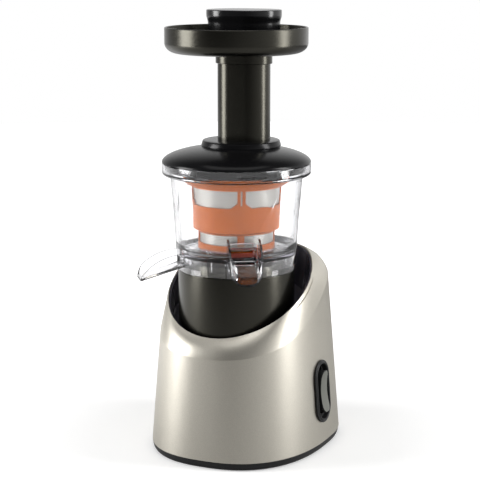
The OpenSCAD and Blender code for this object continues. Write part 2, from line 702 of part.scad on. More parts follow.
function involute(a) = tan(a)*180/PI - a;
function flank_angle(r, m, n) =
  let (base = m*n*cos(pressure)/2, a = r <= base ? 0 : acos(base/r))
  90/n - tooth_slack/(m*n/2)*180/PI + involute(pressure) - involute(a);
module gear_outline(m, n) {
  root = m*n/2 - root_share*m;
  tip = m*n/2 + tip_share*m;
  rs = [root, max(root + 0.02, m*n*cos(pressure)/2), m*n/2 - 0.3*m, m*n/2 + 0.3*m, tip];
  polygon([for (k = [0:n - 1]) each concat(
    [for (i = [0:4]) polar(rs[i], 360*k/n - flank_angle(rs[i], m, n))],
    [for (i = [4:-1:0]) polar(rs[i], 360*k/n + flank_angle(rs[i], m, n))])]);
}

shaft_step = 1;
module motor_shaft() color([0.78, 0.78, 0.79]) on_axis(motor_back) {
  translate([0, 0, bracket_low_z - 14]) cylinder(r = shaft_r, h = fast_z - bracket_low_z + 16);
  translate([0, 0, bracket_low_z + bracket_t + 0.5])
    cylinder(r = shaft_r + shaft_step, h = bracket_high_z - bracket_low_z - bracket_t - 1);
  translate([0, 0, fast_z]) rotate(90) linear_extrude(fast_w) gear_outline(fast_module, fast_teeth[0]);
}

module rotor_core() color([0.5, 0.5, 0.52]) on_axis(motor_back, stack_z) difference() {
  union() {
    cylinder(r = rotor_r, h = stack_h);
    translate([0, 0, -4]) pipe(rotor_r - 2, rotor_r - 8, 5);
    translate([0, 0, stack_h - 1]) pipe(rotor_r - 2, rotor_r - 8, 5);
  }
  translate([0, 0, -cut]) cylinder(r = shaft_r + shaft_step + press, h = stack_h + 2*cut);
}

blade_tilt = 48;
blade = [28, 12, 1.4];
fan_hub = [8, 10];    // radius and height of the fan's hub
fan_disc = [22, 1.6];
fan_z = bracket_low_z - fan_hub[1] - 3;
module cooling_fan() color([0.15, 0.15, 0.16]) on_axis(motor_back, fan_z) difference() {
  union() {
    cylinder(r = fan_hub[0], h = fan_hub[1]);
    cylinder(r = fan_disc[0], h = fan_disc[1]);
    for (a = [0:40:320]) rotate(a) translate([fan_hub[0] - 2, 0, fan_hub[1]/2]) rotate([blade_tilt, 0, 0])
      translate([0, -blade.y/2, -blade.z/2]) cube(blade);
  }
  translate([0, 0, -cut]) cylinder(r = shaft_r + press, h = fan_hub[1] + 2*cut);
}

// ---- Gearbox ----
module gearbox_case() color([0.55, 0.56, 0.57]) difference() {
  union() {
    on_axis(0, case_z) {
      cylinder(r = case_r, h = case_floor);
      pipe(case_r, case_r - case_wall, cover_z - case_z);
      translate([0, 0, mid_z - case_z - 1.4]) pipe(case_r - case_wall + 0.5, screw_ring + 2, 1.4);
      round_four(screw_ring) cylinder(r = 4.5, h = mid_z - case_z - 0.7);
    }
    on_axis(mid_back, case_z) cylinder(r = axle_r + 4, h = fast_z - case_z - 0.4);
  }
  on_axis(mid_back, case_z + 0.8) cylinder(r = axle_r + press, h = 30);
  on_axis(motor_back, case_z - cut) {
    cylinder(r = shaft_r + 3, h = case_floor + 2*cut);
    round_four(bolt_ring, 0) cylinder(r = bolt_r + fit, h = case_floor + 2*cut);
  }
  on_axis(0, mid_z - 12) round_four(screw_ring) cylinder(r = small_screw_r + fit, h = 13);
}

module bearing_plate() color([0.62, 0.63, 0.64]) difference() {
  on_axis(0, mid_z) cylinder(r = case_r - case_wall - slip, h = mid_t);
  on_axis(0, mid_z - cut) cylinder(r = seal_r, h = mid_t + 2*cut);
  on_axis(mid_back, mid_z - cut) cylinder(r = 9.6, h = mid_t + 2*cut);
  on_axis(0, mid_z - cut) round_four(screw_ring) cylinder(r = small_screw_r + fit, h = mid_t + 2*cut);
  on_axis(0, mid_z - cut) for (a = [200, 340])
    rotate(a) translate([26, 0, 0]) cylinder(r = 8, h = mid_t + 2*cut);
}

cover_boss = 6;
module gearbox_cover() color([0.55, 0.56, 0.57]) difference() {
  union() {
    on_axis(0, cover_z) cylinder(r = case_r, h = cover_t);
    on_axis(0, cover_z) cylinder(r = collar_r, h = cover_t + 3);
    on_axis(0, mid_z + mid_t) round_four(screw_ring) cylinder(r = 4.5, h = cover_z - mid_z - mid_t + 0.5);
    on_axis(mid_back, cover_z - 4.4) cylinder(r = axle_r + 3, h = 5);
  }
  on_axis(0, cover_z - cut) cylinder(r = seal_r + 2, h = cover_boss + cut);
  on_axis(0, cover_z - cut) cylinder(r = output_r + 1, h = 12);
  on_axis(mid_back, cover_z - 6) cylinder(r = axle_r + press, h = 8);
  on_axis(0, mid_z) round_four(screw_ring) cylinder(r = small_screw_r + fit, h = 40);
}

module gearbox_screws() color([0.8, 0.8, 0.8]) on_axis(0, cover_z + cover_t) round_four(screw_ring) {
  cylinder(r = 3.2, h = 2);
  translate([0, 0, mid_z - cover_z - cover_t - 11])
    cylinder(r = small_screw_r, h = cover_z + cover_t - mid_z + 11.5);
}

module gear_axle() color([0.82, 0.82, 0.83])
  on_axis(mid_back, case_z + 1) cylinder(r = axle_r, h = cover_z - case_z + 0.8);

web_ring = [14, 17.5];   // where the holes in the two large gears lie
web_hole = [3.6, 3.8];
module compound_gear() color([0.80, 0.78, 0.72]) on_axis(mid_back) difference() {
  union() {
    translate([0, 0, fast_z]) rotate(270 + 180/fast_teeth[1]) linear_extrude(fast_w)
      gear_outline(fast_module, fast_teeth[1]);
    translate([0, 0, fast_z + 1]) cylinder(r = 8.4, h = slow_z - fast_z - 1.4);
    translate([0, 0, slow_z - 1]) cylinder(r = 5.2, h = 2);
    translate([0, 0, slow_z]) rotate(270) linear_extrude(slow_w + 0.5)
      gear_outline(slow_module, slow_teeth[0]);
  }
  translate([0, 0, fast_z - cut]) cylinder(r = axle_r + fit, h = slow_z - fast_z + slow_w + 5);
  for (k = [0:4]) rotate(72*k + 54) translate([web_ring[0], 0, fast_z - cut])
    cylinder(r = web_hole[0], h = fast_w + 2*cut);
}

module output_gear() color([0.80, 0.78, 0.72]) on_axis() difference() {
  union() {
    translate([0, 0, slow_z]) rotate(90 + 180/slow_teeth[1]) linear_extrude(slow_w)
      gear_outline(slow_module, slow_teeth[1]);
    translate([0, 0, slow_z + 1]) cylinder(r = 11, h = cover_z - slow_z - 1.5);
  }
  translate([0, 0, slow_z - cut]) cylinder(r = output_r + press, h = 30);
  for (k = [0:5]) rotate(60*k) translate([web_ring[1], 0, slow_z - cut])
    cylinder(r = web_hole[1], h = slow_w + 2*cut);
}

module output_shaft() color([0.82, 0.82, 0.83]) on_axis() {
  translate([0, 0, mid_z]) cylinder(r = neck_r, h = 6);
  translate([0, 0, mid_z + mid_t + 0.3]) cylinder(r = output_r, h = hub_top - 8 - mid_z - mid_t);
  translate([0, 0, hub_top - 9]) linear_extrude(hex_top - hub_top + 9) hexagon(hex_w);
}
module hexagon(w) polygon([for (k = [0:5]) polar(w/sqrt(3), 60*k)]);

module output_bearings() color([0.75, 0.75, 0.75]) {
  on_axis(0, mid_z) pipe(seal_r - press, neck_r + fit, mid_t);
  on_axis(0, cover_z) pipe(seal_r + 2 - press, output_r + fit, cover_boss - 0.2);
}

module drum_oil_seal() color([0.25, 0.16, 0.12])
  on_axis(0, deck_z - 5) pipe(seal_r - press, output_r + 2*fit, 7);

// ---- Bowl ----
function wall_r(z) =
  let (s = (z - wall_low)/(wall_high - wall_low))
  bowl_low_r + (bowl_high_r - bowl_low_r)*(0.43*s + 0.57*s*s);
wall_steps = 7;
ledge_z = bowl_top - flange_h + 2.7;
round_top = floor_z + floor_round;
lug_span = 24;
lug_turns = [90, 210, 330];
lug_z = ledge_z + 1;

module bowl_body() on_axis() rotate_extrude() polygon(concat(
  [[skirt_r, bowl_z], [bowl_low_r - 0.9, bowl_z]],
  [for (i = [0:wall_steps]) let (z = wall_low + (wall_high - wall_low)*i/wall_steps) [wall_r(z), z]],
  [[bowl_high_r + 1.4, bowl_top - flange_h - 2.2], [flange_r - 1.5, bowl_top - flange_h - 0.7],
   [flange_r, bowl_top - flange_h + 0.7], [flange_r, bowl_top - 0.6], [flange_r - 0.6, bowl_top],
   [recess_r, bowl_top], [recess_r, ledge_z], [bowl_high_r - 0.4, ledge_z - 2.2]],
  [for (i = [wall_steps:-1:0]) let (z = round_top + (wall_high - round_top)*i/wall_steps)
    [wall_r(z) - bowl_wall, z]],
  [for (a = [15:15:90])
    [wall_r(round_top) - bowl_wall - floor_round*(1 - cos(a)), round_top - floor_round*sin(a)]],
  [[hub_r, floor_z], [hub_r, hub_top], [hub_bore, hub_top], [hub_bore, floor_z - floor_t],
   [skirt_r, floor_z - floor_t]]));

root_r = bowl_low_r - 0.5;   // distance at which the spouts' slopes are measured
open_end = 1.75;     // exponent of the curve in which a spout's edge falls to its tip
module trough_u(w, corner, under, slope, from, to) translate([root_r, 0, under]) rotate([0, slope, 0])
  translate([from - root_r, 0, 0]) rotate([90, 0, 90]) linear_extrude(to - from) {
    translate([-w/2 + corner, 0]) square([w - 2*corner, 60]);
    translate([-w/2, corner]) square([w, 60 - corner]);
    for (s = [-1, 1]) translate([s*(w/2 - corner), corner]) circle(corner);
  }
module trough_plan(w, tip_round, from, to) translate([0, 0, bowl_z - 20]) linear_extrude(80) {
  translate([from, -w/2]) square([to - tip_round - from, w]);
  translate([from, -w/2 + tip_round]) square([to - from, w - 2*tip_round + 0.001]);
  for (s = [-1, 1]) translate([to - tip_round, s*(w/2 - tip_round)]) circle(tip_round);
}
module trough_side(edge, tip_z, from, to) rotate([90, 0, 0]) linear_extrude(60, center = true)
  polygon(concat([[from, bowl_z - 20], [from, edge]],
    [for (i = [0:12]) let (s = sin(7.5*i))
      [root_r + (to - root_r)*s, tip_z + (edge - tip_z)*pow(1 - pow(s, open_end), 1/open_end)]],
    [[to, bowl_z - 20]]));
function tip_level(under, slope, reach) = under - tan(slope)*(reach - root_r);

module trough(under, slope, edge, reach, corner, tip_round, from) intersection() {
  trough_u(spout_w, corner, under, slope, from - 12, reach + 20);
  trough_plan(spout_w, tip_round, from, reach);
  trough_side(edge, tip_level(under, slope, reach), from - 1, reach);
}
module trough_hollow(under, slope, reach, corner, tip_round, from) intersection() {
  trough_u(spout_w - 2*spout_wall, corner - spout_wall, under + spout_wall/cos(slope), slope,
    from - 12, reach + 20);
  union() {
    trough_plan(spout_w - 2*spout_wall, tip_round - spout_wall, from, reach - spout_wall);
    translate([from, -spout_w/2 + 7, bowl_z - 20]) cube([reach - from + 5, spout_w - 14, 80]);
  }
}

juice_under = bowl_z + 3.5;
tunnel_wall = 2.2;
tunnel_roof = 2.4;
pulp_under = tunnel_z - tunnel_roof;
juice_from = spigot_r + 0.6;
drop_slot = [juice_from + 2.4, 6, 22];   // start, depth and width of the slot that lets the juice down
round_juice = 6;
round_pulp = 13;
seat_r = strainer_low_r + 0.4;
tunnel_from = strainer_low_r + 2.2;

module juice_bowl() color([0.85, 0.90, 0.92], 0.35) difference() {
  union() {
    bowl_body();
    on_axis(0, floor_z - 0.5) pipe(seat_r + 2, seat_r, 4.5);
    toward(juice_turn) {
      difference() {
        trough(juice_under, juice_slope, bowl_z + juice_edge, juice_reach, round_juice, 8, root_r - 4);
        translate([0, 0, bowl_z - 30]) cylinder(r = bowl_low_r - 1.7, h = 80);
      }
      intersection() {
        translate([juice_from, -spout_w/2, bowl_z + 2.2]) cube([12, spout_w, floor_h - floor_t - 2]);
        trough_u(spout_w, round_juice, juice_under, juice_slope, juice_from - 10, juice_reach);
      }
    }
    toward(pulp_turn) {
      difference() {
        trough(pulp_under, pulp_slope, bowl_z + pulp_edge, pulp_reach, round_pulp, 16, root_r - 2);
        translate([0, 0, bowl_z - 30]) cylinder(r = bowl_low_r - 0.4, h = 80);
      }
      translate([tunnel_from, -tunnel_w/2 - tunnel_wall, tunnel_z - tunnel_roof])
        cube([root_r - tunnel_from + 0.3, tunnel_w + 2*tunnel_wall, tunnel_h + 2*tunnel_roof]);
      translate([root_r + 0.5, -1.2, tunnel_z + tunnel_h + 0.5]) cube([4, 2.4, 12]);
    }
    for (a = key_turns) toward(a) for (s = [-1, 1])
      translate([spigot_r + 0.8, s*(key_w/2 + 1.4) - 1, bowl_z])
        cube([skirt_r - spigot_r + 0.2, 2, floor_h - 1]);
    for (a = lug_turns) on_axis(0, lug_z + 3.2) rotate(a - lug_span/2)
      rotate_extrude(angle = lug_span) translate([plug_r + 0.6, 0]) square([recess_r - plug_r, 2.4]);
  }
  toward(juice_turn) {
    difference() {
      trough_hollow(juice_under, juice_slope, juice_reach, round_juice, 8, juice_from + 2);
      translate([0, 0, floor_z - floor_t]) cylinder(r = wall_r(bowl_z + juice_edge), h = 60);
    }
    translate([drop_slot[0], -drop_slot[2]/2, floor_z - floor_t - cut])
      cube([drop_slot[1], drop_slot[2], 12]);
  }
  toward(pulp_turn) {
    difference() {
      trough_hollow(pulp_under, pulp_slope, pulp_reach, round_pulp, 16, root_r - 1);
      translate([0, 0, bowl_z - 30]) cylinder(r = wall_r(bowl_z + pulp_edge), h = 90);
    }
    translate([tunnel_from - cut, -tunnel_w/2, tunnel_z])
      cube([root_r - tunnel_from + 4, tunnel_w, tunnel_h]);
    translate([strainer_low_r - 4, -tunnel_w/2 - 2.4, floor_z])
      cube([tunnel_from - strainer_low_r + 4, tunnel_w + 4.8, 6]);
  }
}

module bowl_shaft_seal() color([0.55, 0.20, 0.16])
  on_axis(0, floor_z - 2) pipe(hub_bore - press, output_r + gap, 6);
module strainer_seal() color([0.60, 0.22, 0.18])
  on_axis(0, floor_z + gap/2) pipe(strainer_low_r - 0.6, strainer_low_r - 4, strainer_z - floor_z - gap);

// The pulp's way out through the strainer's foot and the gasket
module port_cut(reach) translate([strainer_low_r - 6, -tunnel_w/2 + 0.8, port_z])
  cube([6 + reach, tunnel_w - 1.6, port_h]);

module pulp_gasket() color([0.60, 0.22, 0.18]) toward(pulp_turn) difference() {
  translate([strainer_low_r + gap, -tunnel_w/2 - 1.8, floor_z + gap])
    cube([tunnel_from - strainer_low_r - gap - 0.1, tunnel_w + 3.6, tunnel_z + tunnel_h + 2 - floor_z]);
  port_cut(6);
}

// ---- Strainer ----
flare_z = strainer_top - 3;
module strainer_frame() color([0.76, 0.42, 0.20]) difference() {
  on_axis() rotate_extrude() polygon([
    [hub_r + 3, strainer_z], [strainer_low_r, strainer_z], [strainer_low_r, step_z],
    [strainer_r, step_z + step_up], [strainer_r + 0.4, step_z + 22], [strainer_r + 2, window_top + 1],
    [strainer_r + 8.6, flare_z], [strainer_r + 9.6, flare_z + 0.8], [strainer_r + 9.6, strainer_top],
    [strainer_r + 5, strainer_top], [strainer_r + 5, flare_z + 0.3],
    [strainer_r + 2 - strainer_wall, window_top + 2.6], [strainer_r + 0.4 - strainer_wall, step_z + 22],
    [strainer_r - strainer_wall, step_z + step_up + 1.6], [strainer_low_r - strainer_wall, step_z + 1.4],
    [strainer_low_r - strainer_wall, strainer_z + 2], [hub_r + 3, strainer_z + 2]]);
  for (k = [0:window_n - 1]) toward(pulp_turn + (k + 0.5)*360/window_n) {
    difference() {
      rotate(-window_half(4)) rotate_extrude(angle = 2*window_half(4))
        translate([strainer_r - 5, window_top - window_h]) square([10, window_h]);
      for (s = [-1, 1]) rotate(s*180/window_n) translate([strainer_r - 6, 0, window_top - window_h])
        rotate([90, 0, 90]) linear_extrude(14)
          polygon([[-11, -1], [11, -1], [11, 0], [4, 5.5], [-4, 5.5], [-11, 0]]);
    }
    rotate(-window_half(4)) rotate_extrude(angle = 2*window_half(4))
      translate([strainer_low_r - 5, step_z - low_window_h]) square([8, low_window_h - 1]);
    rotate(180/window_n) translate([strainer_r - 5, -0.9, window_top - window_h + 3])
      cube([10, 1.8, window_h - 3]);
  }
  toward(pulp_turn) port_cut(4);
}
function window_half(rib) = 180/window_n - asin(rib/strainer_r);

function mesh_side(inset) = [
  [strainer_low_r - strainer_wall - inset, strainer_z + 2.2],
  [strainer_low_r - strainer_wall - inset, step_z + 1.6 + 0.5*inset],
  [strainer_r - strainer_wall - inset, step_z + step_up + 1.9 + 0.5*inset],
  [strainer_r + 0.4 - strainer_wall - inset, step_z + 22],
  [strainer_r + 2 - strainer_wall - inset, window_top + 2.2]];
module strainer_mesh() color([0.72, 0.72, 0.70]) difference() {
  on_axis() rotate_extrude() polygon(concat(mesh_side(0.1), [for (i = [4:-1:0]) mesh_side(0.1 + mesh_t)[i]]));
  toward(pulp_turn) port_cut(4);
}

// ---- Pressing screw ----
function core_r(z) =
  let (s = (z - screw_z - 5)/(core_top - screw_z - 5))
  core_top_r + (core_foot_r - core_top_r)*pow(max(0, 1 - s), 1.5);
function reach_r(z) =
  let (s = max(0, min(1, (z - step_z - step_up - 4)/6)), e = max(0, (z - strainer_top + 14)/16))
  screw_r - 0.4 + (flight_r - screw_r + 0.4)*s - 5*e*e;
flight_low = screw_z + 4;
flight_high = strainer_top + 2;
flight_steps = 56;
function flight_section(i, first) =
  let (
    z = flight_low + (flight_high - flight_low)*i/flight_steps,
    a = first + 360*(z - flight_low)/flight_pitch,
    out = reach_r(z - 2),
    in = core_r(z) - 2.5,
    thick = 5 - 2.4*i/flight_steps
  )
  [lift(polar(in, a), z - 0.75*thick), lift(polar(out, a), z - 0.4*thick),
   lift(polar(out, a), z + 0.4*thick), lift(polar(in, a), z + 0.75*thick)];

socket_z = hub_top + 1;
socket_r = 9;
module auger() color([0.88, 0.86, 0.80]) on_axis() difference() {
  union() {
    rotate_extrude() polygon(concat([[0, screw_z], [screw_r - 1, screw_z], [screw_r, screw_z + 1],
      [screw_r, screw_z + 3], [screw_r - 1, screw_z + 4], [core_foot_r, screw_z + 5]],
      [for (i = [1:8]) let (z = screw_z + 5 + (core_top - screw_z - 5)*i/8) [core_r(z), z]],
      [[pin_r + 2, core_top + 0.5], [pin_r, core_top + 1], [pin_r, pin_top - 0.8],
       [pin_r - 0.8, pin_top], [0, pin_top]]));
    for (first = [0, 180]) bar_sweep([for (i = [0:flight_steps]) flight_section(i, first)]);
  }
  translate([0, 0, screw_z - cut]) cylinder(r = hub_r + 1.5, h = hub_top + gap - screw_z + cut);
  translate([0, 0, hub_top]) cylinder(r = socket_r + press, h = hex_top + 2.5 - hub_top);
}

module auger_drive_insert() color([0.78, 0.78, 0.79]) on_axis(0, hub_top + gap) difference() {
  cylinder(r = socket_r, h = hex_top + 2.2 - hub_top - gap);
  translate([0, 0, -cut]) linear_extrude(hex_top + gap - hub_top - gap + cut) hexagon(hex_w + 0.5);
}

// ---- Lid ----
dome_steps = 16;
function dome(r, h) = [for (i = [0:dome_steps]) [r*cos(90*i/dome_steps), h*sin(90*i/dome_steps)]];
hub_out = pin_r + 3.4;
bush_out = pin_r + 1.3;
ring_r = strainer_r + 4.7;
module lid() color([0.05, 0.05, 0.055]) difference() {
  union() {
    difference() {
      on_axis(0, lid_z) rotate_extrude()
        polygon(concat([[0, 0], [flange_r - 0.4, 0]], dome(flange_r + 0.35, lid_rise)));
      on_axis(0, lid_z - cut) cylinder(r = plug_r - lid_wall, h = cut);
      on_axis(0, lid_z) rotate_extrude()
        polygon(concat([[0, 0]], dome(plug_r - lid_wall, lid_rise - lid_wall)));
    }
    on_axis(0, ledge_z + 0.8) pipe(plug_r, plug_r - lid_wall, lid_z - ledge_z + 1.2);
    on_axis(boss_back) rotate_extrude() polygon([[0, lid_z + 12.4], [boss_r - 2.6, lid_z + 12.4],
      [boss_r, boss_top - 5.5], [boss_r - 1.4, boss_top - 0.7], [boss_r - 2.2, boss_top], [0, boss_top]]);
    on_axis(0, strainer_top - 2.3) pipe(ring_r, ring_r - 2.4, lid_z + 12 - strainer_top + 2.3);
    on_axis(0, core_top + 2) cylinder(r = hub_out, h = tube_z - core_top - 2.4);
    for (a = [-66, 0, 66]) toward(a) translate([hub_out - 1, -2, core_top + 6])
      cube([ring_r - hub_out - 0.5, 4, lid_z + 7 - core_top]);
    for (a = lug_turns) on_axis(0, lug_z) rotate(a - lug_span/2)
      rotate_extrude(angle = lug_span) translate([plug_r - 1, 0]) square([recess_r - plug_r + 0.6, 2.8]);
  }
  on_axis(tube_back, tube_z - 8) slot_cut(tube_r - tube_wall, 8 + cut, true);
  on_axis(tube_back, tube_z - 0.2) slot_bar(tube_r + 2.4, tube_half, 2.8);
  on_axis(tube_back, tube_z) slot_bar(tube_r + slip, tube_half, 40);
  on_axis(0, core_top - 6) cylinder(r = bush_out + press, h = pin_top + 1.5 - core_top + 6);
}
// The tube's throat, with the middle kept free for the bush carrier where asked
module slot_cut(r, h, keep_hub) difference() {
  slot_bar(r, tube_half, h);
  if (keep_hub) translate([0, -tube_back, -cut]) cylinder(r = hub_out, h = h + 2*cut);
}

module auger_top_bush() color([0.72, 0.56, 0.34])
  on_axis(0, core_top + 2) pipe(bush_out, pin_r + 2*fit, pin_top - core_top - 2.6);

module feed_tube() color([0.22, 0.21, 0.20]) on_axis(tube_back, tube_z) difference() {
  union() {
    slot_bar(tube_r, tube_half, tube_h);
    slot_bar(tube_r + 2.2, tube_half, 2.4);
  }
  translate([0, 0, -cut]) slot_bar(tube_r - tube_wall, tube_half, tube_h + 2*cut);
}

corner_w = 14;
corner_h = 10.5;
function tray_corner(inset) = [for (a = [0:11.25:90])
  [tray_r - corner_w + (corner_w - inset)*sin(a), tray_z + corner_h - (corner_h - inset)*cos(a)]];
module tray() color([0.20, 0.195, 0.185]) difference() {
  union() {
    on_axis() rotate_extrude() polygon(concat([[0, tray_z]], tray_corner(0),
      [[tray_r, tray_top - 0.8], [tray_r - 0.8, tray_top], [tray_r - tray_wall + 0.4, tray_top],
       [tray_r - tray_wall, tray_top - 0.6]],
      [for (i = [8:-1:0]) tray_corner(tray_wall)[i]], [[0, tray_floor]]));
    on_axis(tube_back, tray_z - collar_h) slot_bar(tube_r + 2, tube_half, collar_h + 0.5);
  }
  on_axis(tube_back, tray_z - collar_h - cut) slot_bar(tube_r + slip, tube_half, collar_h + cut);
  on_axis(tube_back, tray_z - cut) slot_bar(tube_r - tube_wall, tube_half, 10);
}

module pusher() color([0.05, 0.05, 0.05]) on_axis(tube_back) {
  pulled_turn(tube_half, [[0, head_z], [head_r - 2.6, head_z], [head_r - 1.6, head_z + head_h - 14],
    [head_r - 0.4, head_z + head_h - 9], [head_r, head_z + head_h - 4], [head_r - 0.5, head_z + head_h - 1],
    [head_r - 1.6, head_z + head_h - 0.2], [head_r - 6, head_z + head_h], [0, head_z + head_h]]);
  translate([0, 0, head_z - stem_l]) slot_bar(tube_r - tube_wall - gap, tube_half, stem_l + 1);
}

outer_shell();
trim_liner();
drum();
base_plate();
rubber_feet();
base_screws();
cord_gland();
switch_bezel();
rocker();
switch_body();
run_capacitor();
control_board();
motor_dampers();
lower_motor_bracket();
upper_motor_bracket();
motor_screws();
stator_core();
motor_windings();
motor_bearings();
motor_shaft();
rotor_core();
cooling_fan();
gearbox_case();
bearing_plate();
gearbox_cover();
gearbox_screws();
gear_axle();
compound_gear();
output_gear();
output_shaft();
output_bearings();
drum_oil_seal();
juice_bowl();
bowl_shaft_seal();
strainer_seal();
pulp_gasket();
strainer_frame();
strainer_mesh();
auger();
auger_drive_insert();
lid();
auger_top_bush();
feed_tube();
tray();
pusher();
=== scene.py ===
import json
import math
import bmesh
import bpy
from mathutils import Matrix, Vector

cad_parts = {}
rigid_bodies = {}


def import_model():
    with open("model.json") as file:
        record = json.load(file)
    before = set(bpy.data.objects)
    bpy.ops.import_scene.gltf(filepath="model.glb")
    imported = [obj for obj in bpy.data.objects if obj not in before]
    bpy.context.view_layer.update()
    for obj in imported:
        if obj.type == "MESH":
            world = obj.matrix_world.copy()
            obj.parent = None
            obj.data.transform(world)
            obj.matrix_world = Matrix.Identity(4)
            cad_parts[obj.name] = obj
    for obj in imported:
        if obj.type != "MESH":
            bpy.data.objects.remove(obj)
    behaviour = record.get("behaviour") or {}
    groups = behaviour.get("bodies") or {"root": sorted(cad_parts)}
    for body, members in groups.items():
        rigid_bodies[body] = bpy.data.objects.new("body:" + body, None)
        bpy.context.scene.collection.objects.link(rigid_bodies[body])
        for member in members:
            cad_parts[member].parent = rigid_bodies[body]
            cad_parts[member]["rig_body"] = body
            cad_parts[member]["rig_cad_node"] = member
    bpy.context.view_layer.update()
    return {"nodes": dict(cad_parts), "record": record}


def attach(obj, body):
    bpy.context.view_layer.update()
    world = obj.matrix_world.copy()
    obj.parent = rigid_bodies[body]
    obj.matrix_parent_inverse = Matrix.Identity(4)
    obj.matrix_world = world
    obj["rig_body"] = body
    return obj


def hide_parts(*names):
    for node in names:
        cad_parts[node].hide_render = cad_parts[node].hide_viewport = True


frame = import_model()
mm = 0.001
axisY = -20.5  # the drive axis stands this far in front of the middle, in millimetres
print("frame loaded with", len(frame["nodes"]), "nodes")

# camera
viewSizes = {"place": (0.60275, -1.36530, 0.5158), "pitch": 78.73, "turn": 24.0, "lens": 107.73, "sensor": 36.0}


def addCamera(v):
    bpy.ops.object.camera_add(location=v["place"], rotation=(math.radians(v["pitch"]), 0, math.radians(v["turn"])))
    camera = bpy.context.object
    camera.name = "frontRightView"
    camera.data.sensor_width = v["sensor"]
    camera.data.lens = v["lens"]
    camera.data.clip_end = 20
    bpy.context.scene.camera = camera


addCamera(viewSizes)
print("camera set")


# small tools for working by hand
def clearPick():
    if bpy.context.object and bpy.context.object.mode != "OBJECT":
        bpy.ops.object.mode_set(mode="OBJECT")
    bpy.ops.object.select_all(action="DESELECT")


def takeUp(piece):
    clearPick()
    piece.select_set(True)
    bpy.context.view_layer.objects.active = piece


def fixPlace():
    bpy.ops.object.transform_apply(location=True, rotation=True, scale=True)


def openMesh():
    bpy.ops.object.mode_set(mode="EDIT")
    bpy.ops.mesh.select_all(action="SELECT")


def closeMesh():
    bpy.ops.object.mode_set(mode="OBJECT")


def faceOutward():
    bpy.ops.mesh.select_all(action="SELECT")
    bpy.ops.mesh.normals_make_consistent(inside=False)
    closeMesh()


def pick(piece, kind, test):  # in edit mode, selects what passes the test by its place or normal
    bpy.ops.mesh.select_all(action="DESELECT")
    bpy.ops.mesh.select_mode(type=kind)
    mesh = bmesh.from_edit_mesh(piece.data)
    if kind == "VERT":
        for v in mesh.verts:
            v.select = bool(test(v.co))
    elif kind == "EDGE":
        for e in mesh.edges:
            e.select = bool(test(e.verts[0].co, e.verts[1].co))
    else:
        for f in mesh.faces:
            f.select = bool(test(f.calc_center_median(), f.normal))
    mesh.select_flush_mode()
    bmesh.update_edit_mesh(piece.data)


def copyNode(node, name):  # a loose copy of a solid, merged so that it can be smoothed and worked on
    takeUp(frame["nodes"][node])
    bpy.ops.object.duplicate()
    piece = bpy.context.object
    bpy.ops.object.parent_clear(type="CLEAR_KEEP_TRANSFORM")
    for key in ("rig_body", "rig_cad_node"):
        if key in piece:
            del piece[key]
    piece.name = piece.data.name = name
    bpy.ops.mesh.customdata_custom_splitnormals_clear()
    piece.data.materials.clear()
    openMesh()
    bpy.ops.mesh.remove_doubles(threshold=0.000005)
    closeMesh()
    return piece


def ringStack(name, rings, count=96, centre=(0, axisY), half=0.0):
    # a round is drawn from ring to ring, each a radius and a height; half pulls the two sides apart
    clearPick()
    start = [r for r in rings if r[0] > 0]
    radius, level = start[0]
    spot = (centre[0] * mm, centre[1] * mm)
    bpy.ops.mesh.primitive_circle_add(vertices=count, radius=radius * mm, location=(*spot, level * mm),
                                      rotation=(0, 0, math.pi / count))
    piece = bpy.context.object
    piece.name = piece.data.name = name
    fixPlace()
    openMesh()
    for r, z in start[1:]:
        bpy.ops.mesh.extrude_edges_move(TRANSFORM_OT_translate={"value": (0, 0, (z - level) * mm)})
        bpy.ops.transform.resize(value=(r / radius, r / radius, 1), center_override=(*spot, z * mm))
        radius, level = r, z
    if half:
        for side in (1, -1):
            pick(piece, "VERT", lambda co: (co.x - spot[0]) * side > 0)
            bpy.ops.transform.translate(value=(side * half * mm, 0, 0))

    def onRing(co, ring):
        away = math.hypot(max(abs(co.x - spot[0]) - half * mm, 0), co.y - spot[1])
        return abs(co.z - ring[1] * mm) < 2e-6 and abs(away - ring[0] * mm) < 4e-6

    for end, ring in ((rings[0], start[0]), (rings[-1], start[-1])):
        if end[0] == 0:  # a flat end is closed with one face
            pick(piece, "EDGE", lambda a, b: onRing(a, ring) and onRing(b, ring))
            bpy.ops.mesh.edge_face_add()
    bpy.ops.mesh.select_all(action="SELECT")
    bpy.ops.mesh.remove_doubles(threshold=0.000002)
    faceOutward()
    return piece


def quarter(x, z, wide, high, first, last, steps):
    # points on an ellipse about (x, z), from one angle to another in degrees
    turns = [math.radians(first + (last - first) * i / steps) for i in range(steps + 1)]
    return [(x + wide * math.cos(a), z + high * math.sin(a)) for a in turns]


def addModifier(piece, kind, **values):
    takeUp(piece)
    bpy.ops.object.modifier_add(type=kind)
    modifier = piece.modifiers[-1]
    for key, value in values.items():
        setattr(modifier, key, value)
    bpy.ops.object.modifier_apply(modifier=modifier.name)


def cutAway(piece, cutter, work="DIFFERENCE"):  # takes the cutter's room out of the piece, or keeps only that
    addModifier(piece, "BOOLEAN", operation=work, solver="EXACT", object=cutter)
    bpy.data.objects.remove(cutter)


def joinTo(piece, others):
    takeUp(piece)
    for other in others:
        other.select_set(True)
    bpy.ops.object.join()
    return piece


def softenEdges(piece, width, segments=2, angle=60):
    addModifier(piece, "BEVEL", width=width * mm, segments=segments, limit_method="ANGLE",
                angle_limit=math.radians(angle), use_clamp_overlap=True, harden_normals=False)


def addBlock(place, size):  # a block from its middle and its size
    clearPick()
    bpy.ops.mesh.primitive_cube_add(size=1, location=[c * mm for c in place], scale=[c * mm for c in size])
    fixPlace()
    return bpy.context.object


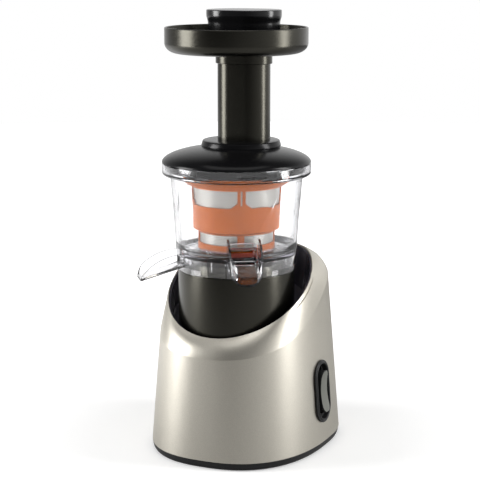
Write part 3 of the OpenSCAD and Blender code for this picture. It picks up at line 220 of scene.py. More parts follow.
def turnInPlace(piece, turn, soft, segments=2):  # rounds a block that lies along X and turns it round the drive axis
    softenEdges(piece, soft, segments)
    piece.matrix_world = Matrix.Translation((0, axisY * mm, 0)) @ Matrix.Rotation(math.radians(turn), 4, "Z")
    takeUp(piece)
    fixPlace()
    return piece


def makeArc(name, inner, outer, low, high, turn, span):  # a block that follows the bowl's round
    clearPick()
    bpy.ops.mesh.primitive_plane_add(size=1, location=((inner + outer) / 2 * mm, 0, (low + high / 2) * mm),
                                     rotation=(math.pi / 2, 0, 0))
    piece = bpy.context.object
    piece.name = name
    piece.scale = ((outer - inner) * mm, high * mm, 1)
    fixPlace()
    openMesh()
    bpy.ops.mesh.spin(steps=10, angle=math.radians(span), center=(0, 0, 0), axis=(0, 0, 1))
    faceOutward()
    return turnInPlace(piece, turn - span / 2, 0.4)


def finishPiece(piece, body, material, replaced=(), smooth=32):
    takeUp(piece)
    bpy.ops.object.shade_smooth_by_angle(angle=math.radians(smooth))
    if material is not None:
        piece.data.materials.clear()
        piece.data.materials.append(material)
    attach(piece, body)
    if replaced:
        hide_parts(*replaced)


# surface patterns that several finishes share
surfaceResults = [("Color", "Color"), ("Roughness", "Float"), ("Normal", "Vector")]


def startGroup(name, inputs, outputs):
    group = bpy.data.node_groups.new(name, "ShaderNodeTree")
    for title, kind, value in inputs:
        socket = group.interface.new_socket(name=title, in_out="INPUT", socket_type="NodeSocket" + kind)
        socket.default_value = value
    for title, kind in outputs:
        group.interface.new_socket(name=title, in_out="OUTPUT", socket_type="NodeSocket" + kind)
    return group, group.nodes.new("NodeGroupInput").outputs, group.nodes.new("NodeGroupOutput").inputs


def feed(tree, socket, value):  # a plain value, a color or another node's result
    if isinstance(value, bpy.types.NodeSocket):
        tree.links.new(value, socket)
    elif isinstance(value, tuple):
        socket.default_value = (*value, 1)
    else:
        socket.default_value = value


def mathNode(tree, work, a, b=None, clamp=False):
    node = tree.nodes.new("ShaderNodeMath")
    node.operation = work
    node.use_clamp = clamp
    feed(tree, node.inputs[0], a)
    if b is not None:
        feed(tree, node.inputs[1], b)
    return node.outputs[0]


def plus(tree, a, b, clamp=False):
    return mathNode(tree, "ADD", a, b, clamp)


def minus(tree, a, b, clamp=False):
    return mathNode(tree, "SUBTRACT", a, b, clamp)


def times(tree, a, b):
    return mathNode(tree, "MULTIPLY", a, b)


def mixColor(tree, share, a, b, work="MIX"):
    node = tree.nodes.new("ShaderNodeMix")
    node.data_type = "RGBA"
    node.blend_type = work
    for i, value in ((0, share), (6, a), (7, b)):  # a mix node keeps its color sockets at 6 and 7
        feed(tree, node.inputs[i], value)
    return node.outputs[2]


def tintBy(tree, color, shade):
    grey = tree.nodes.new("ShaderNodeCombineColor")
    for i in range(3):
        tree.links.new(shade, grey.inputs[i])
    return mixColor(tree, 1.0, color, grey.outputs[0], "MULTIPLY")


def fedNode(tree, kind, result, **values):
    node = tree.nodes.new("ShaderNode" + kind)
    for title, value in values.items():
        feed(tree, node.inputs[title.replace("_", " ")], value)
    return node.outputs[result]


def noiseNode(tree, vector, scale, detail=3.0, rough=0.5):
    return fedNode(tree, "TexNoise", "Fac", Vector=vector, Scale=scale, Detail=detail, Roughness=rough)


def bumpNode(tree, height, strength, distance):
    return fedNode(tree, "Bump", "Normal", Height=height, Strength=strength, Distance=distance)


def objectPlace(tree):
    return tree.nodes.new("ShaderNodeTexCoord").outputs["Object"]


def splitPlace(tree, vector):
    node = tree.nodes.new("ShaderNodeSeparateXYZ")
    tree.links.new(vector, node.inputs[0])
    return node.outputs


def makeMouldedGrain():
    # fine grain, faint cloudiness and light handling marks of a moulded or painted face
    group, given, out = startGroup("mouldedGrain", [
        ("Color", "Color", (0.5, 0.5, 0.5, 1)), ("Shade Spread", "Float", 0.05), ("Roughness", "Float", 0.4),
        ("Roughness Spread", "Float", 0.05), ("Grain Size", "Float", 900.0), ("Grain Depth", "Float", 0.1)],
        surfaceResults)
    place = objectPlace(group)
    grain = noiseNode(group, place, given["Grain Size"], 2.0)
    cloud = minus(group, noiseNode(group, place, 14.0, 4.0), 0.5)
    marks = minus(group, noiseNode(group, place, 60.0, 6.0, 0.65), 0.5)
    shade = plus(group, times(group, cloud, given["Shade Spread"]), 1.0)
    both = plus(group, times(group, marks, 1.4), cloud)
    rough = plus(group, given["Roughness"], times(group, both, given["Roughness Spread"]), True)
    group.links.new(tintBy(group, given["Color"], shade), out["Color"])
    group.links.new(rough, out["Roughness"])
    group.links.new(bumpNode(group, grain, given["Grain Depth"], 0.0002), out["Normal"])
    return group


def makeMetalFlake():
    # tiny flakes under a satin lacquer, each tipped a little its own way
    group, given, out = startGroup("metalFlake", [
        ("Color", "Color", (0.5, 0.5, 0.5, 1)), ("Flake Size", "Float", 2600.0), ("Flake Light", "Float", 0.2),
        ("Roughness", "Float", 0.3), ("Roughness Spread", "Float", 0.04), ("Ripple", "Float", 0.05)],
        surfaceResults)
    place = objectPlace(group)
    cells = fedNode(group, "TexVoronoi", "Color", Vector=place, Scale=given["Flake Size"])
    parts = group.nodes.new("ShaderNodeSeparateColor")
    group.links.new(cells, parts.inputs[0])
    shade = plus(group, times(group, minus(group, parts.outputs[0], 0.5), given["Flake Light"]), 1.0)
    cloud = minus(group, noiseNode(group, place, 22.0, 4.0), 0.5)
    rough = plus(group, given["Roughness"], times(group, cloud, given["Roughness Spread"]), True)
    group.links.new(tintBy(group, given["Color"], shade), out["Color"])
    group.links.new(rough, out["Roughness"])
    group.links.new(bumpNode(group, parts.outputs[1], given["Ripple"], 0.0001), out["Normal"])
    return group


def makePunchedSheet():
    # round holes in staggered rows on a drum of the given radius that stands on the drive axis
    group, given, out = startGroup("punchedSheet", [
        ("Pitch", "Float", 0.0012), ("Hole", "Float", 0.3), ("Radius", "Float", 0.043)],
        [("Mask", "Float"), ("Height", "Float")])
    rowPitch, fade = 0.866, 0.05  # rows stand closer than holes, and a hole's outline is soft over this share
    shift = group.nodes.new("ShaderNodeMapping")
    shift.inputs["Location"].default_value = (0, -axisY * mm, 0)
    group.links.new(objectPlace(group), shift.inputs["Vector"])
    split = splitPlace(group, shift.outputs[0])
    turn = mathNode(group, "ARCTAN2", split["Y"], split["X"])
    across = mathNode(group, "DIVIDE", times(group, turn, given["Radius"]), given["Pitch"])
    up = mathNode(group, "DIVIDE", split["Z"], times(group, given["Pitch"], rowPitch))
    stagger = times(group, mathNode(group, "MODULO", mathNode(group, "FLOOR", up), 2.0), 0.5)
    u = minus(group, mathNode(group, "FRACT", plus(group, across, stagger)), 0.5)
    v = times(group, minus(group, mathNode(group, "FRACT", up), 0.5), rowPitch)
    far = mathNode(group, "SQRT", plus(group, times(group, u, u), times(group, v, v)))
    hole = group.nodes.new("ShaderNodeMapRange")
    hole.interpolation_type = "SMOOTHSTEP"
    for title, value in (("Value", far), ("From Min", minus(group, given["Hole"], fade)),
                         ("From Max", plus(group, given["Hole"], fade)), ("To Min", 1.0), ("To Max", 0.0)):
        feed(group, hole.inputs[title], value)
    group.links.new(hole.outputs[0], out["Mask"])
    group.links.new(minus(group, 1.0, hole.outputs[0]), out["Height"])
    return group


def makeTurnedMarks():
    # faint tool marks that run round a vertical axis, and along its height
    group, given, out = startGroup("turnedMarks", [
        ("Color", "Color", (0.6, 0.6, 0.6, 1)), ("Centre", "Vector", (0, 0.0205, 0)), ("Roughness", "Float", 0.3),
        ("Marks", "Float", 2200.0), ("Depth", "Float", 0.1)],
        surfaceResults)
    shift = group.nodes.new("ShaderNodeVectorMath")
    shift.operation = "ADD"
    group.links.new(objectPlace(group), shift.inputs[0])
    group.links.new(given["Centre"], shift.inputs[1])
    x, y, z = splitPlace(group, shift.outputs[0])
    away = mathNode(group, "SQRT", plus(group, times(group, x, x), times(group, y, y)))
    line = group.nodes.new("ShaderNodeTexNoise")
    line.noise_dimensions = "1D"
    for title, value in (("W", plus(group, away, times(group, z, 1.13))), ("Scale", given["Marks"]), ("Detail", 2.0)):
        feed(group, line.inputs[title], value)
    marks = line.outputs["Fac"]
    rough = plus(group, given["Roughness"], times(group, minus(group, marks, 0.5), 0.3), True)
    shade = plus(group, times(group, marks, 0.24), 0.88)
    group.links.new(tintBy(group, given["Color"], shade), out["Color"])
    group.links.new(rough, out["Roughness"])
    group.links.new(bumpNode(group, marks, given["Depth"], 0.0002), out["Normal"])
    return group


def makeLayerLines():
    # level lines up a stack of thin sheets, or round a bundle of wire
    group, given, out = startGroup("layerLines", [
        ("Color", "Color", (0.5, 0.5, 0.5, 1)), ("Gap Color", "Color", (0.05, 0.05, 0.05, 1)),
        ("Pitch", "Float", 0.0008), ("Wander", "Float", 0.0)], [("Color", "Color"), ("Normal", "Vector")])
    place = objectPlace(group)
    stray = times(group, noiseNode(group, place, 90.0, 2.0), given["Wander"])
    level = mathNode(group, "DIVIDE", plus(group, splitPlace(group, place)["Z"], stray), given["Pitch"])
    wave = mathNode(group, "SINE", times(group, level, 2 * math.pi))
    share = mathNode(group, "POWER", plus(group, times(group, wave, 0.5), 0.5), 3.0)
    group.links.new(mixColor(group, share, given["Color"], given["Gap Color"]), out["Color"])
    group.links.new(bumpNode(group, minus(group, 1.0, share), 0.5, 0.0002), out["Normal"])
    return group


def makeBoardTracks():
    # copper tracks under green lacquer
    group, given, out = startGroup("boardTracks", [
        ("Color", "Color", (0.012, 0.07, 0.03, 1)), ("Track Color", "Color", (0.05, 0.16, 0.06, 1)),
        ("Size", "Float", 320.0)], [("Color", "Color"), ("Height", "Float")])
    tracks = fedNode(group, "TexBrick", "Fac", Vector=objectPlace(group), Scale=given["Size"], Mortar_Size=0.06)
    group.links.new(mixColor(group, tracks, given["Color"], given["Track Color"]), out["Color"])
    group.links.new(tracks, out["Height"])
    return group


mouldedGrain = makeMouldedGrain()
metalFlake = makeMetalFlake()
punchedSheet = makePunchedSheet()
turnedMarks = makeTurnedMarks()
layerLines = makeLayerLines()
boardTracks = makeBoardTracks()
print("surface patterns built")


# finishes
def startFinish(name, **values):
    material = bpy.data.materials.new(name)
    material.use_nodes = True
    shader = material.node_tree.nodes["Principled BSDF"]
    for key, value in values.items():
        shader.inputs[key.replace("_", " ")].default_value = value
    return material, material.node_tree, shader


def useGroup(tree, shader, group, values, links=("Color", "Roughness", "Normal")):
    node = tree.nodes.new("ShaderNodeGroup")
    node.node_tree = group
    for key, value in values.items():
        node.inputs[key].default_value = value
    for title in links:
        tree.links.new(node.outputs[title], shader.inputs["Base Color" if title == "Color" else title])
    return node


def mouldedFinish(name, color, rough, depth=0.1, size=900.0, spread=0.06, roughSpread=0.06, **values):
    material, tree, shader = startFinish(name, **values)
    useGroup(tree, shader, mouldedGrain, {
        "Color": (*color, 1), "Shade Spread": spread, "Roughness": rough, "Roughness Spread": roughSpread,
        "Grain Size": size, "Grain Depth": depth})
    return material


def flakeFinish(name, color, rough, light, ripple, metallic):
    material, tree, shader = startFinish(name, Metallic=metallic)
    useGroup(tree, shader, metalFlake, {
        "Color": (*color, 1), "Roughness": rough, "Flake Light": light, "Ripple": ripple})
    return material


def turnedFinish(name, color, rough, depth, axis=axisY):  # axis is where the turned piece's own axis stands along Y
    material, tree, shader = startFinish(name, Metallic=1.0)
    useGroup(tree, shader, turnedMarks, {
        "Color": (*color, 1), "Roughness": rough, "Depth": depth, "Centre": (0, -axis * mm, 0)})
    return material


def layeredFinish(name, color, gapColor, pitch, wander, **values):
    material, tree, shader = startFinish(name, **values)
    useGroup(tree, shader, layerLines, {
        "Color": (*color, 1), "Gap Color": (*gapColor, 1), "Pitch": pitch, "Wander": wander}, ("Color", "Normal"))
    return material


def boardFinish():
    material, tree, shader = startFinish("boardLacquer", Roughness=0.28)
    tracks = useGroup(tree, shader, boardTracks, {}, ("Color",))
    tree.links.new(bumpNode(tree, tracks.outputs["Height"], 0.4, 0.0001), shader.inputs["Normal"])
    return material


# edge is the painted shade that the clear plastic takes on towards its outlines
clearSizes = {"roughness": 0.03, "index": 1.49, "face": (0.97, 0.97, 0.975), "edge": (0.10, 0.10, 0.12),
              "edgeShadePower": 3.5, "depthColor": (0.62, 0.60, 0.68), "density": 16}


def clearFinish(v):
    material, tree, shader = startFinish("clearPlastic", Roughness=v["roughness"], IOR=v["index"],
                                         Transmission_Weight=1.0)
    rim = fedNode(tree, "LayerWeight", "Facing", Blend=0.5)  # painted shade: the colour darkens towards its outlines, where the glass looks dark to look through
    edge = mathNode(tree, "POWER", rim, v["edgeShadePower"])
    tree.links.new(mixColor(tree, edge, v["face"], v["edge"]), shader.inputs["Base Color"])
    depth = fedNode(tree, "VolumeAbsorption", "Volume", Color=v["depthColor"], Density=v["density"])
    tree.links.new(depth, tree.nodes["Material Output"].inputs["Volume"])
    return material


# holes is the colour of the holes: painted shade of the inside of the strainer, seen through them
meshSizes = {"pitch": 0.0018, "sheet": (0.50, 0.49, 0.46), "holes": (0.045, 0.04, 0.035), "roughness": 0.32}


def meshFinish(v):
    material, tree, shader = startFinish("meshSteel", Metallic=1.0, Roughness=v["roughness"])
    holes = useGroup(tree, shader, punchedSheet, {"Pitch": v["pitch"]}, ())
    # the holes are painted dark, as painted shade of the room inside the strainer; the sheet itself is not cut
    color = mixColor(tree, holes.outputs["Mask"], v["sheet"], v["holes"])
    tree.links.new(color, shader.inputs["Base Color"])
    tree.links.new(bumpNode(tree, holes.outputs["Height"], 0.6, 0.0003), shader.inputs["Normal"])
    return material


black, steel = (0.006, 0.006, 0.0068), (0.60, 0.60, 0.61)
finishes = {
    "silver_shell": flakeFinish("silverShell", (0.60, 0.57, 0.50), 0.37, 0.14, 0.10, 0.9),
    "gunmetal": flakeFinish("gunmetal", (0.050, 0.048, 0.040), 0.25, 0.25, 0.05, 0.95),
    "black_gloss": mouldedFinish("blackGloss", black, 0.20, 0.02, roughSpread=0.03),
    "lid_gloss": mouldedFinish("lidGloss", black, 0.22, 0.02, roughSpread=0.03, Specular_IOR_Level=0.2),
    # the liner's dark violet is lightened here: painted reflection of the pale surroundings on its inner wall
    "liner_gloss_with_painted_sheen": mouldedFinish("linerGlossWithPaintedSheen", (0.060, 0.054, 0.072), 0.25, 0.02, roughSpread=0.03),
    "black_plastic": mouldedFinish("blackPlastic", (0.014, 0.014, 0.0145), 0.42, 0.25, Specular_IOR_Level=0.35),
    "grey_plastic": mouldedFinish("greyPlastic", (0.165, 0.168, 0.148), 0.45, 0.15),
    "rubber": mouldedFinish("blackRubber", (0.018, 0.018, 0.018), 0.7, 0.4, 500.0),
    "steel": turnedFinish("turnedSteel", (0.62, 0.62, 0.63), 0.28, 0.08),
    "motor_steel": turnedFinish("motorSteel", steel, 0.28, 0.08, -14.1),
    "axle_steel": turnedFinish("axleSteel", steel, 0.22, 0.05, 11.5),
    "aluminium": mouldedFinish("castAluminium", (0.52, 0.53, 0.54), 0.5, 0.5, 420.0, Metallic=1.0),
    "iron": layeredFinish("stackIron", (0.25, 0.26, 0.28), (0.05, 0.05, 0.055), 0.0010, 0.0,
                          Metallic=1.0, Roughness=0.45),
    "copper": layeredFinish("copperWire", (0.55, 0.22, 0.08), (0.12, 0.03, 0.01), 0.0011, 0.0016,
                            Metallic=0.7, Roughness=0.32),
    "gear_plastic": mouldedFinish("gearPlastic", (0.66, 0.62, 0.50), 0.4),
    "board": boardFinish(),
    "red_silicone": mouldedFinish("redSilicone", (0.33, 0.045, 0.025), 0.45),
    "orange_plastic": mouldedFinish("orangePlastic", (0.56, 0.125, 0.005), 0.38, 0.05, spread=0.1,
                                    Specular_IOR_Level=0.12),
    "screw_plastic": mouldedFinish("screwPlastic", (0.62, 0.58, 0.48), 0.42),
    "bush_brass": turnedFinish("bushBrass", (0.55, 0.36, 0.12), 0.3, 0.1),
    "clear_plastic": clearFinish(clearSizes),
    "mesh_steel": meshFinish(meshSizes),
}
slotOf = {row["node"]: row["material_slot"] for row in frame["record"]["subparts"]}
ownFinish = {"trim_liner": "liner_gloss_with_painted_sheen", "motor_shaft": "motor_steel", "motor_bearings": "motor_steel",
             "gear_axle": "axle_steel"}


def finishOf(node):  # the finish of its slot, unless it has one of its own
    return finishes[ownFinish.get(node, slotOf[node])]


for node, solid in frame["nodes"].items():
    solid.data.materials.clear()
    solid.data.materials.append(finishOf(node))
print("finishes given to the solids")

# floor, surroundings and lamps
studioSizes = {"floorColor": (0.42, 0.80), "floorGlow": 0.34, "clearFrom": 0.16, "clearTo": 0.75, "surround": 0.22,
               "behindTurn": -20.0, "frontMirror": 0.08, "sideTurn": -8.0, "floorMirror": (0.05, 0.55, 0.6),
               "leftLamp": {"place": (-1.40, -0.78, 0.56), "aim": 0.18, "size": (0.7, 1.05), "watts": 25.0},
               "rightLamp": {"place": (1.40, 0.32, 0.70), "aim": 0.22, "size": (0.4, 1.4), "watts": 17.5},
               "topLamp": {"place": (0.1, -0.4, 2.1), "aim": 0.3, "size": (1.8, 1.8), "watts": 12.0}}


def addLamp(name, v):  # turned toward the middle of the object at the height of its aim
    bpy.ops.object.light_add(type="AREA", location=v["place"])
    lamp = bpy.context.object
    lamp.name = name
    lamp.rotation_euler = (Vector((0, 0, v["aim"])) - Vector(v["place"])).to_track_quat("-Z", "Y").to_euler()
    lamp.data.shape = "RECTANGLE"
    lamp.data.size, lamp.data.size_y = v["size"]
    lamp.data.energy = v["watts"]


def rayKinds(tree):  # 1 for rays of the camera and of glass, and 1 for those of gloss
    path = tree.nodes.new("ShaderNodeLightPath").outputs
    return mathNode(tree, "MAXIMUM", path["Is Camera Ray"], path["Is Transmission Ray"]), path["Is Glossy Ray"]


def turnAround(tree, place, turn):  # how far round from the front a direction lies, less a turn in degrees
    split = splitPlace(tree, place)
    around = mathNode(tree, "ARCTAN2", split["X"], times(tree, split["Y"], -1.0))
    return minus(tree, around, math.radians(turn)), split["Z"]


def whiteWalls(tree, place, turn):  # white walls behind and beside the object, and a dimmer room in front and above
    around, high = turnAround(tree, place, turn)
    behind = minus(tree, 0.5, times(tree, mathNode(tree, "COSINE", around), 0.5))
    return times(tree, behind, minus(tree, 1.5, times(tree, high, 2.0), True))


def brightSides(tree, place, turn, low, more, left):  # the floor mirrors the lamps to both sides, the left one more
    side = mathNode(tree, "SINE", turnAround(tree, place, turn)[0])
    lobes = times(tree, times(tree, side, side), more)
    return plus(tree, times(tree, lobes, minus(tree, 1.0, times(tree, side, left))), low)


def greyOf(value):
    return (value,) * 3


def dressStudio(v):
    white = greyOf(1.0)
    world = bpy.data.worlds.new("paleSurround")
    world.use_nodes = True
    bpy.context.scene.world = world
    tree = world.node_tree
    direct, gloss = rayKinds(tree)
    walls = whiteWalls(tree, tree.nodes.new("ShaderNodeTexCoord").outputs["Generated"], v["behindTurn"])
    room = mixColor(tree, gloss, greyOf(v["surround"]), mixColor(tree, walls, greyOf(v["frontMirror"]), white))
    tree.links.new(mixColor(tree, direct, room, white), tree.nodes["Background"].inputs["Color"])
    clearPick()
    bpy.ops.mesh.primitive_circle_add(vertices=96, radius=3.0, fill_type="NGON", location=(0, 0, 0))
    floor = bpy.context.object
    floor.name = "paleFloor"
    material, tree, shader = startFinish("paleFloor", Roughness=0.8, Emission_Color=(1, 1, 1, 1))
    place = objectPlace(tree)
    away = tree.nodes.new("ShaderNodeVectorMath")
    away.operation = "LENGTH"
    tree.links.new(place, away.inputs[0])
    clear = fedNode(tree, "MapRange", "Result", Value=away.outputs["Value"], From_Min=v["clearFrom"],
                    From_Max=v["clearTo"], To_Min=v["floorGlow"], To_Max=1.0)  # the floor runs out into plain white
    direct, gloss = rayKinds(tree)
    dark, light = map(greyOf, v["floorColor"])
    tree.links.new(mixColor(tree, direct, dark, light), shader.inputs["Base Color"])
    mirrored = brightSides(tree, place, v["sideTurn"], *v["floorMirror"])
    glow = mathNode(tree, "MAXIMUM", direct, times(tree, gloss, mirrored))
    tree.links.new(times(tree, glow, clear), shader.inputs["Emission Strength"])
    floor.data.materials.append(material)
    for name in ("leftLamp", "rightLamp", "topLamp"):
        addLamp(name, v[name])
    bpy.context.scene.view_settings.view_transform = "Standard"


dressStudio(studioSizes)
print("studio dressed")

# pieces that start from their solids
shellSizes = {"width": 187.0, "length": 217.0, "widest": 16.5, "square": 2.45, "seam": 8.5, "rim": 75.5,
              "rimPlace": (0, -11.0), "rimFront": 132.5, "rimBack": 208.0, "slope": 0.6, "turn": 70.0,
              "lean": 0.0769424, "bandFront": 19.0, "bandSide": 30.0, "brow": 0.8, "control": 0.78, "crisp": 0.52,
              "columns": 80, "steps": 6, "near": 0.02}


def planPoint(v, turn, inset):  # a point of the housing's rounded outline
    c, s = math.cos(turn), math.sin(turn)
    half = v["length"] / 2 + (v["widest"] if s < 0 else -v["widest"])
    return Vector((math.copysign((v["width"] / 2 - inset) * abs(c) ** (2 / v["square"]), c),
                   v["widest"] + math.copysign((half - inset) * abs(s) ** (2 / v["square"]), s), 0))


def rimLevel(v, y):  # the swept rim rises from the front and bends over into a level back
    start, rise = v["rimPlace"][1] - v["rim"], v["rimBack"] - v["rimFront"]
    meet = start + rise / v["slope"]
    cut = v["turn"] * math.tan(math.atan(v["slope"]) / 2)
    if y < meet - cut * math.cos(math.atan(v["slope"])):
        return v["rimFront"] + v["slope"] * (y - start)
    if y < meet + cut:
        return v["rimBack"] - v["turn"] + math.sqrt(v["turn"] ** 2 - (meet + cut - y) ** 2)
    return v["rimBack"]


def crispShoulder(piece, v):  # draws the shoulder closer to its chord, so that the crease under it shows as a line
    bands, creases = [], []
    for i in range(v["columns"]):
        turn = 2 * math.pi * i / v["columns"]
        rim = Vector((*v["rimPlace"], 0))
        ray = (planPoint(v, turn, 0) - rim).normalized()
        top = rimLevel(v, (rim + v["rim"] * ray).y)
        drop = v["bandFront"] + (v["bandSide"] - v["bandFront"]) * ray.x ** 2
        crease, bulge = [planPoint(v, turn, v["lean"] * (level - v["seam"])) + Vector((0, 0, level))
                         for level in (top - drop, top - drop + v["control"] * drop)]
        brow = rim + (v["rim"] + v["brow"]) * ray + Vector((0, 0, top))
        creases.append(crease)
        chord = brow - crease
        for step in range(1, v["steps"]):
            s = step / v["steps"]
            old = (1 - s) ** 2 * crease + 2 * s * (1 - s) * bulge + s * s * brow
            flat = crease + chord * ((old - crease).dot(chord) / chord.length_squared)
            bands.append((old, flat.lerp(old, v["crisp"])))
    takeUp(piece)
    openMesh()
    mesh = bmesh.from_edit_mesh(piece.data)
    moved, onCrease = 0, set()
    for vert in mesh.verts:
        place = vert.co / mm
        old, new = min(bands, key=lambda pair: (pair[0] - place).length_squared)
        if (old - place).length < v["near"]:
            vert.co = new * mm
            moved += 1
        elif min((c - place).length_squared for c in creases) < v["near"] ** 2:
            onCrease.add(vert.index)
    bmesh.update_edit_mesh(piece.data)
    bpy.ops.mesh.select_all(action="DESELECT")
    mesh = bmesh.from_edit_mesh(piece.data)
    for edge in mesh.edges:
        edge.select = all(vert.index in onCrease for vert in edge.verts)
    bmesh.update_edit_mesh(piece.data)
    bpy.ops.mesh.mark_sharp()
    closeMesh()
    print("shoulder drawn tighter at", moved, "points, crease of", len(onCrease))


bowlSizes = {"low": 199.0, "high": 288.0, "lowRadius": 62.5, "highRadius": 68.5, "curve": (0.43, 0.57), "wall": 2.4,
             "roundTop": 223.0, "edges": (213.0, 235.0), "above": 0.3, "near": 0.12, "redrawn": (241.0, 275.0),
             "rings": 5, "cuts": 3, "faceNear": 0.15, "cutNear": 0.2, "merge": 0.00002}


def clearWall(piece, v):  # brings the shallow pockets over the two spouts out to the bowl's own wall
    def wallRadius(z):
        s = (z - v["low"]) / (v["high"] - v["low"])
        return v["lowRadius"] + (v["highRadius"] - v["lowRadius"]) * (v["curve"][0] * s + v["curve"][1] * s * s)

    takeUp(piece)
    openMesh()
    mesh = bmesh.from_edit_mesh(piece.data)
    moved = 0
    for vert in mesh.verts:
        x, y, z = vert.co.x / mm, vert.co.y / mm - axisY, vert.co.z / mm
        away = math.hypot(x, y)
        for edge in v["edges"]:
            if edge + v["above"] < z < v["high"] and abs(away - wallRadius(edge)) < v["near"]:
                grow = wallRadius(z) / away
                vert.co.x, vert.co.y = x * grow * mm, (y * grow + axisY) * mm
                moved += 1
    bmesh.update_edit_mesh(piece.data)
    bpy.ops.mesh.select_all(action="SELECT")
    bpy.ops.mesh.remove_doubles(threshold=v["merge"])
    bpy.ops.mesh.dissolve_degenerate(threshold=v["merge"])

    for level in v["redrawn"]:  # a band of the wall is taken out and drawn again from ring to ring
        bpy.ops.mesh.select_all(action="SELECT")
        bpy.ops.mesh.bisect(plane_co=(0, 0, level * mm), plane_no=(0, 0, 1))
    low, high = [level * mm for level in v["redrawn"]]
    pick(piece, "FACE", lambda co, n: low < co.z < high)
    bpy.ops.mesh.delete(type="FACE")
    for inside in (True, False):
        def onRing(co):
            middle = wallRadius(co.z / mm) - v["wall"] / 2
            return min(abs(co.z - low), abs(co.z - high)) < 1e-6 and (
                math.hypot(co.x, co.y - axisY * mm) / mm < middle) == inside

        pick(piece, "EDGE", lambda a, b: onRing(a) and onRing(b) and abs(a.z - b.z) < 1e-6)
        bpy.ops.mesh.bridge_edge_loops(number_cuts=v["rings"])

    def onWall(co, room):  # 0 off the wall, or else the wall's radius outside or inside at this height
        away, z = math.hypot(co.x, co.y - axisY * mm) / mm, co.z / mm
        for inset, start in ((0, v["low"]), (v["wall"], v["roundTop"])):
            if start - 0.01 <= z <= v["high"] + 0.01 and abs(away - wallRadius(z) + inset) < room:
                return wallRadius(z) - inset
        return 0

    mesh = bmesh.from_edit_mesh(piece.data)
    bpy.ops.mesh.select_all(action="DESELECT")
    for face in mesh.faces:  # the faces that lie in one side of the wall, and don't run through it
        reach = [onWall(vert.co, v["faceNear"]) for vert in face.verts]
        face.select = all(reach) and max(reach) - min(reach) < v["wall"] - 0.2 and abs(face.normal.z) < 0.3
    bmesh.update_edit_mesh(piece.data)
    bpy.ops.mesh.subdivide(number_cuts=v["cuts"])
    mesh = bmesh.from_edit_mesh(piece.data)
    for vert in mesh.verts:
        reach = onWall(vert.co, v["cutNear"]) if vert.select else 0
        if reach:
            grow = reach * mm / math.hypot(vert.co.x, vert.co.y - axisY * mm)
            vert.co.x, vert.co.y = vert.co.x * grow, (vert.co.y - axisY * mm) * grow + axisY * mm
    bmesh.update_edit_mesh(piece.data)
    bpy.ops.mesh.select_all(action="SELECT")
    bpy.ops.mesh.quads_convert_to_tris()
    closeMesh()
    print("bowl wall cleared at", moved, "points, now", len(piece.data.polygons), "faces")


for node, name, body in (("outer_shell", "shellSkin", "base"), ("trim_liner", "linerSkin", "base"),
                         ("base_plate", "basePlateSkin", "base"), ("juice_bowl", "bowlSkin", "bowl"),
                         ("strainer_frame", "strainerSkin", "bowl"), ("strainer_mesh", "meshSkin", "bowl"),
                         ("auger", "augerSkin", "screw")):
    skin = copyNode(node, name)
    if node == "outer_shell":
        crispShoulder(skin, shellSizes)
    if node == "juice_bowl":
        clearWall(skin, bowlSizes)
    finishPiece(skin, body, finishOf(node), [node])
    addModifier(skin, "WEIGHTED_NORMAL", keep_sharp=True, weight=60)

# the foot's black band, drawn in under the housing: each point of its section is an inset and a height
bandSizes = {"columns": 160, "section": (
    (5.5, 8.2), (0.5, 8.2), (0.6, 5.6), (1.1, 3.4), (2.0, 1.7), (3.2, 0.6), (4.6, 0.25), (8.5, 0.25), (8.5, 2.4),
    (5.5, 2.4))}


def makeBaseBand(v):
    mesh = bpy.data.meshes.new("baseBand")
    count, size = v["columns"], len(v["section"])
    points, faces = [], []
    for i in range(count):
        for inset, level in v["section"]:
            points.append((planPoint(shellSizes, 2 * math.pi * i / count, inset) + Vector((0, 0, level))) * mm)
        for j in range(size):
            here, there, up = i * size, (i + 1) % count * size, (j + 1) % size
            faces.append((here + j, here + up, there + up, there + j))
    mesh.from_pydata(points, [], faces)
    band = bpy.data.objects.new("baseBand", mesh)
    bpy.context.scene.collection.objects.link(band)
    takeUp(band)
    openMesh()
    faceOutward()
    return band


finishPiece(makeBaseBand(bandSizes), "base", finishes["black_plastic"])
print("skins made")

# the oval of the feed tube, of what fills it and of what slips over it; half is half the way between its round ends
ovalSizes = {"half": 8.5, "back": 19.0, "bore": 17.4}
ovalSpot = (0, axisY + ovalSizes["back"])

# pusher: the head widens upwards and the stem fills the tube
# side and crown are steps in from the head's radius and down from its top
pusherSizes = {"stemRadius": 17.1, "stemEnd": 325.3, "stemRound": 1.2, "headLow": 419.3, "headRadius": 31.1,
               "top": 460.0, "foot": 28.5, "footRound": 0.8, "taper": 1.0, "flareLow": 26.5, "flareWide": 5.4,
               "flareHigh": 9.0, "side": ((0.15, 7.1), (0, 4.5)), "topRound": 1.0, "crown": ((3.0, 0.06), (9.0, 0))}


def makePusher(v):
    r, low, top, soft, edge = v["headRadius"], v["headLow"], v["top"], v["stemRound"], v["footRound"]
    flare = low + v["flareLow"]
    rings = [(0, v["stemEnd"]), (v["stemRadius"] - soft, v["stemEnd"])]
    rings += quarter(v["stemRadius"] - soft, v["stemEnd"] + soft, soft, soft, -60, 0, 3)
    rings += [(v["stemRadius"], low), (v["foot"] - edge, low)]
    rings += quarter(v["foot"] - edge, low + edge, edge, edge, -60, 0, 3) + [(v["foot"] + v["taper"], flare)]
    rings += quarter(v["foot"] + v["taper"] + v["flareWide"], flare, -v["flareWide"], v["flareHigh"], 0, 30, 6)[1:]
    rings += [(r - step, top - drop) for step, drop in v["side"]]
    rings += quarter(r - v["topRound"], top - 0.2 - v["topRound"], v["topRound"], v["topRound"], 0, 75, 6)
    rings += [(r - step, top - drop) for step, drop in v["crown"]] + [(0, top)]
    return ringStack("pusherSkin", rings, 112, ovalSpot, ovalSizes["half"])


finishPiece(makePusher(pusherSizes), "pusher", finishes["black_gloss"], ["pusher"], 40)

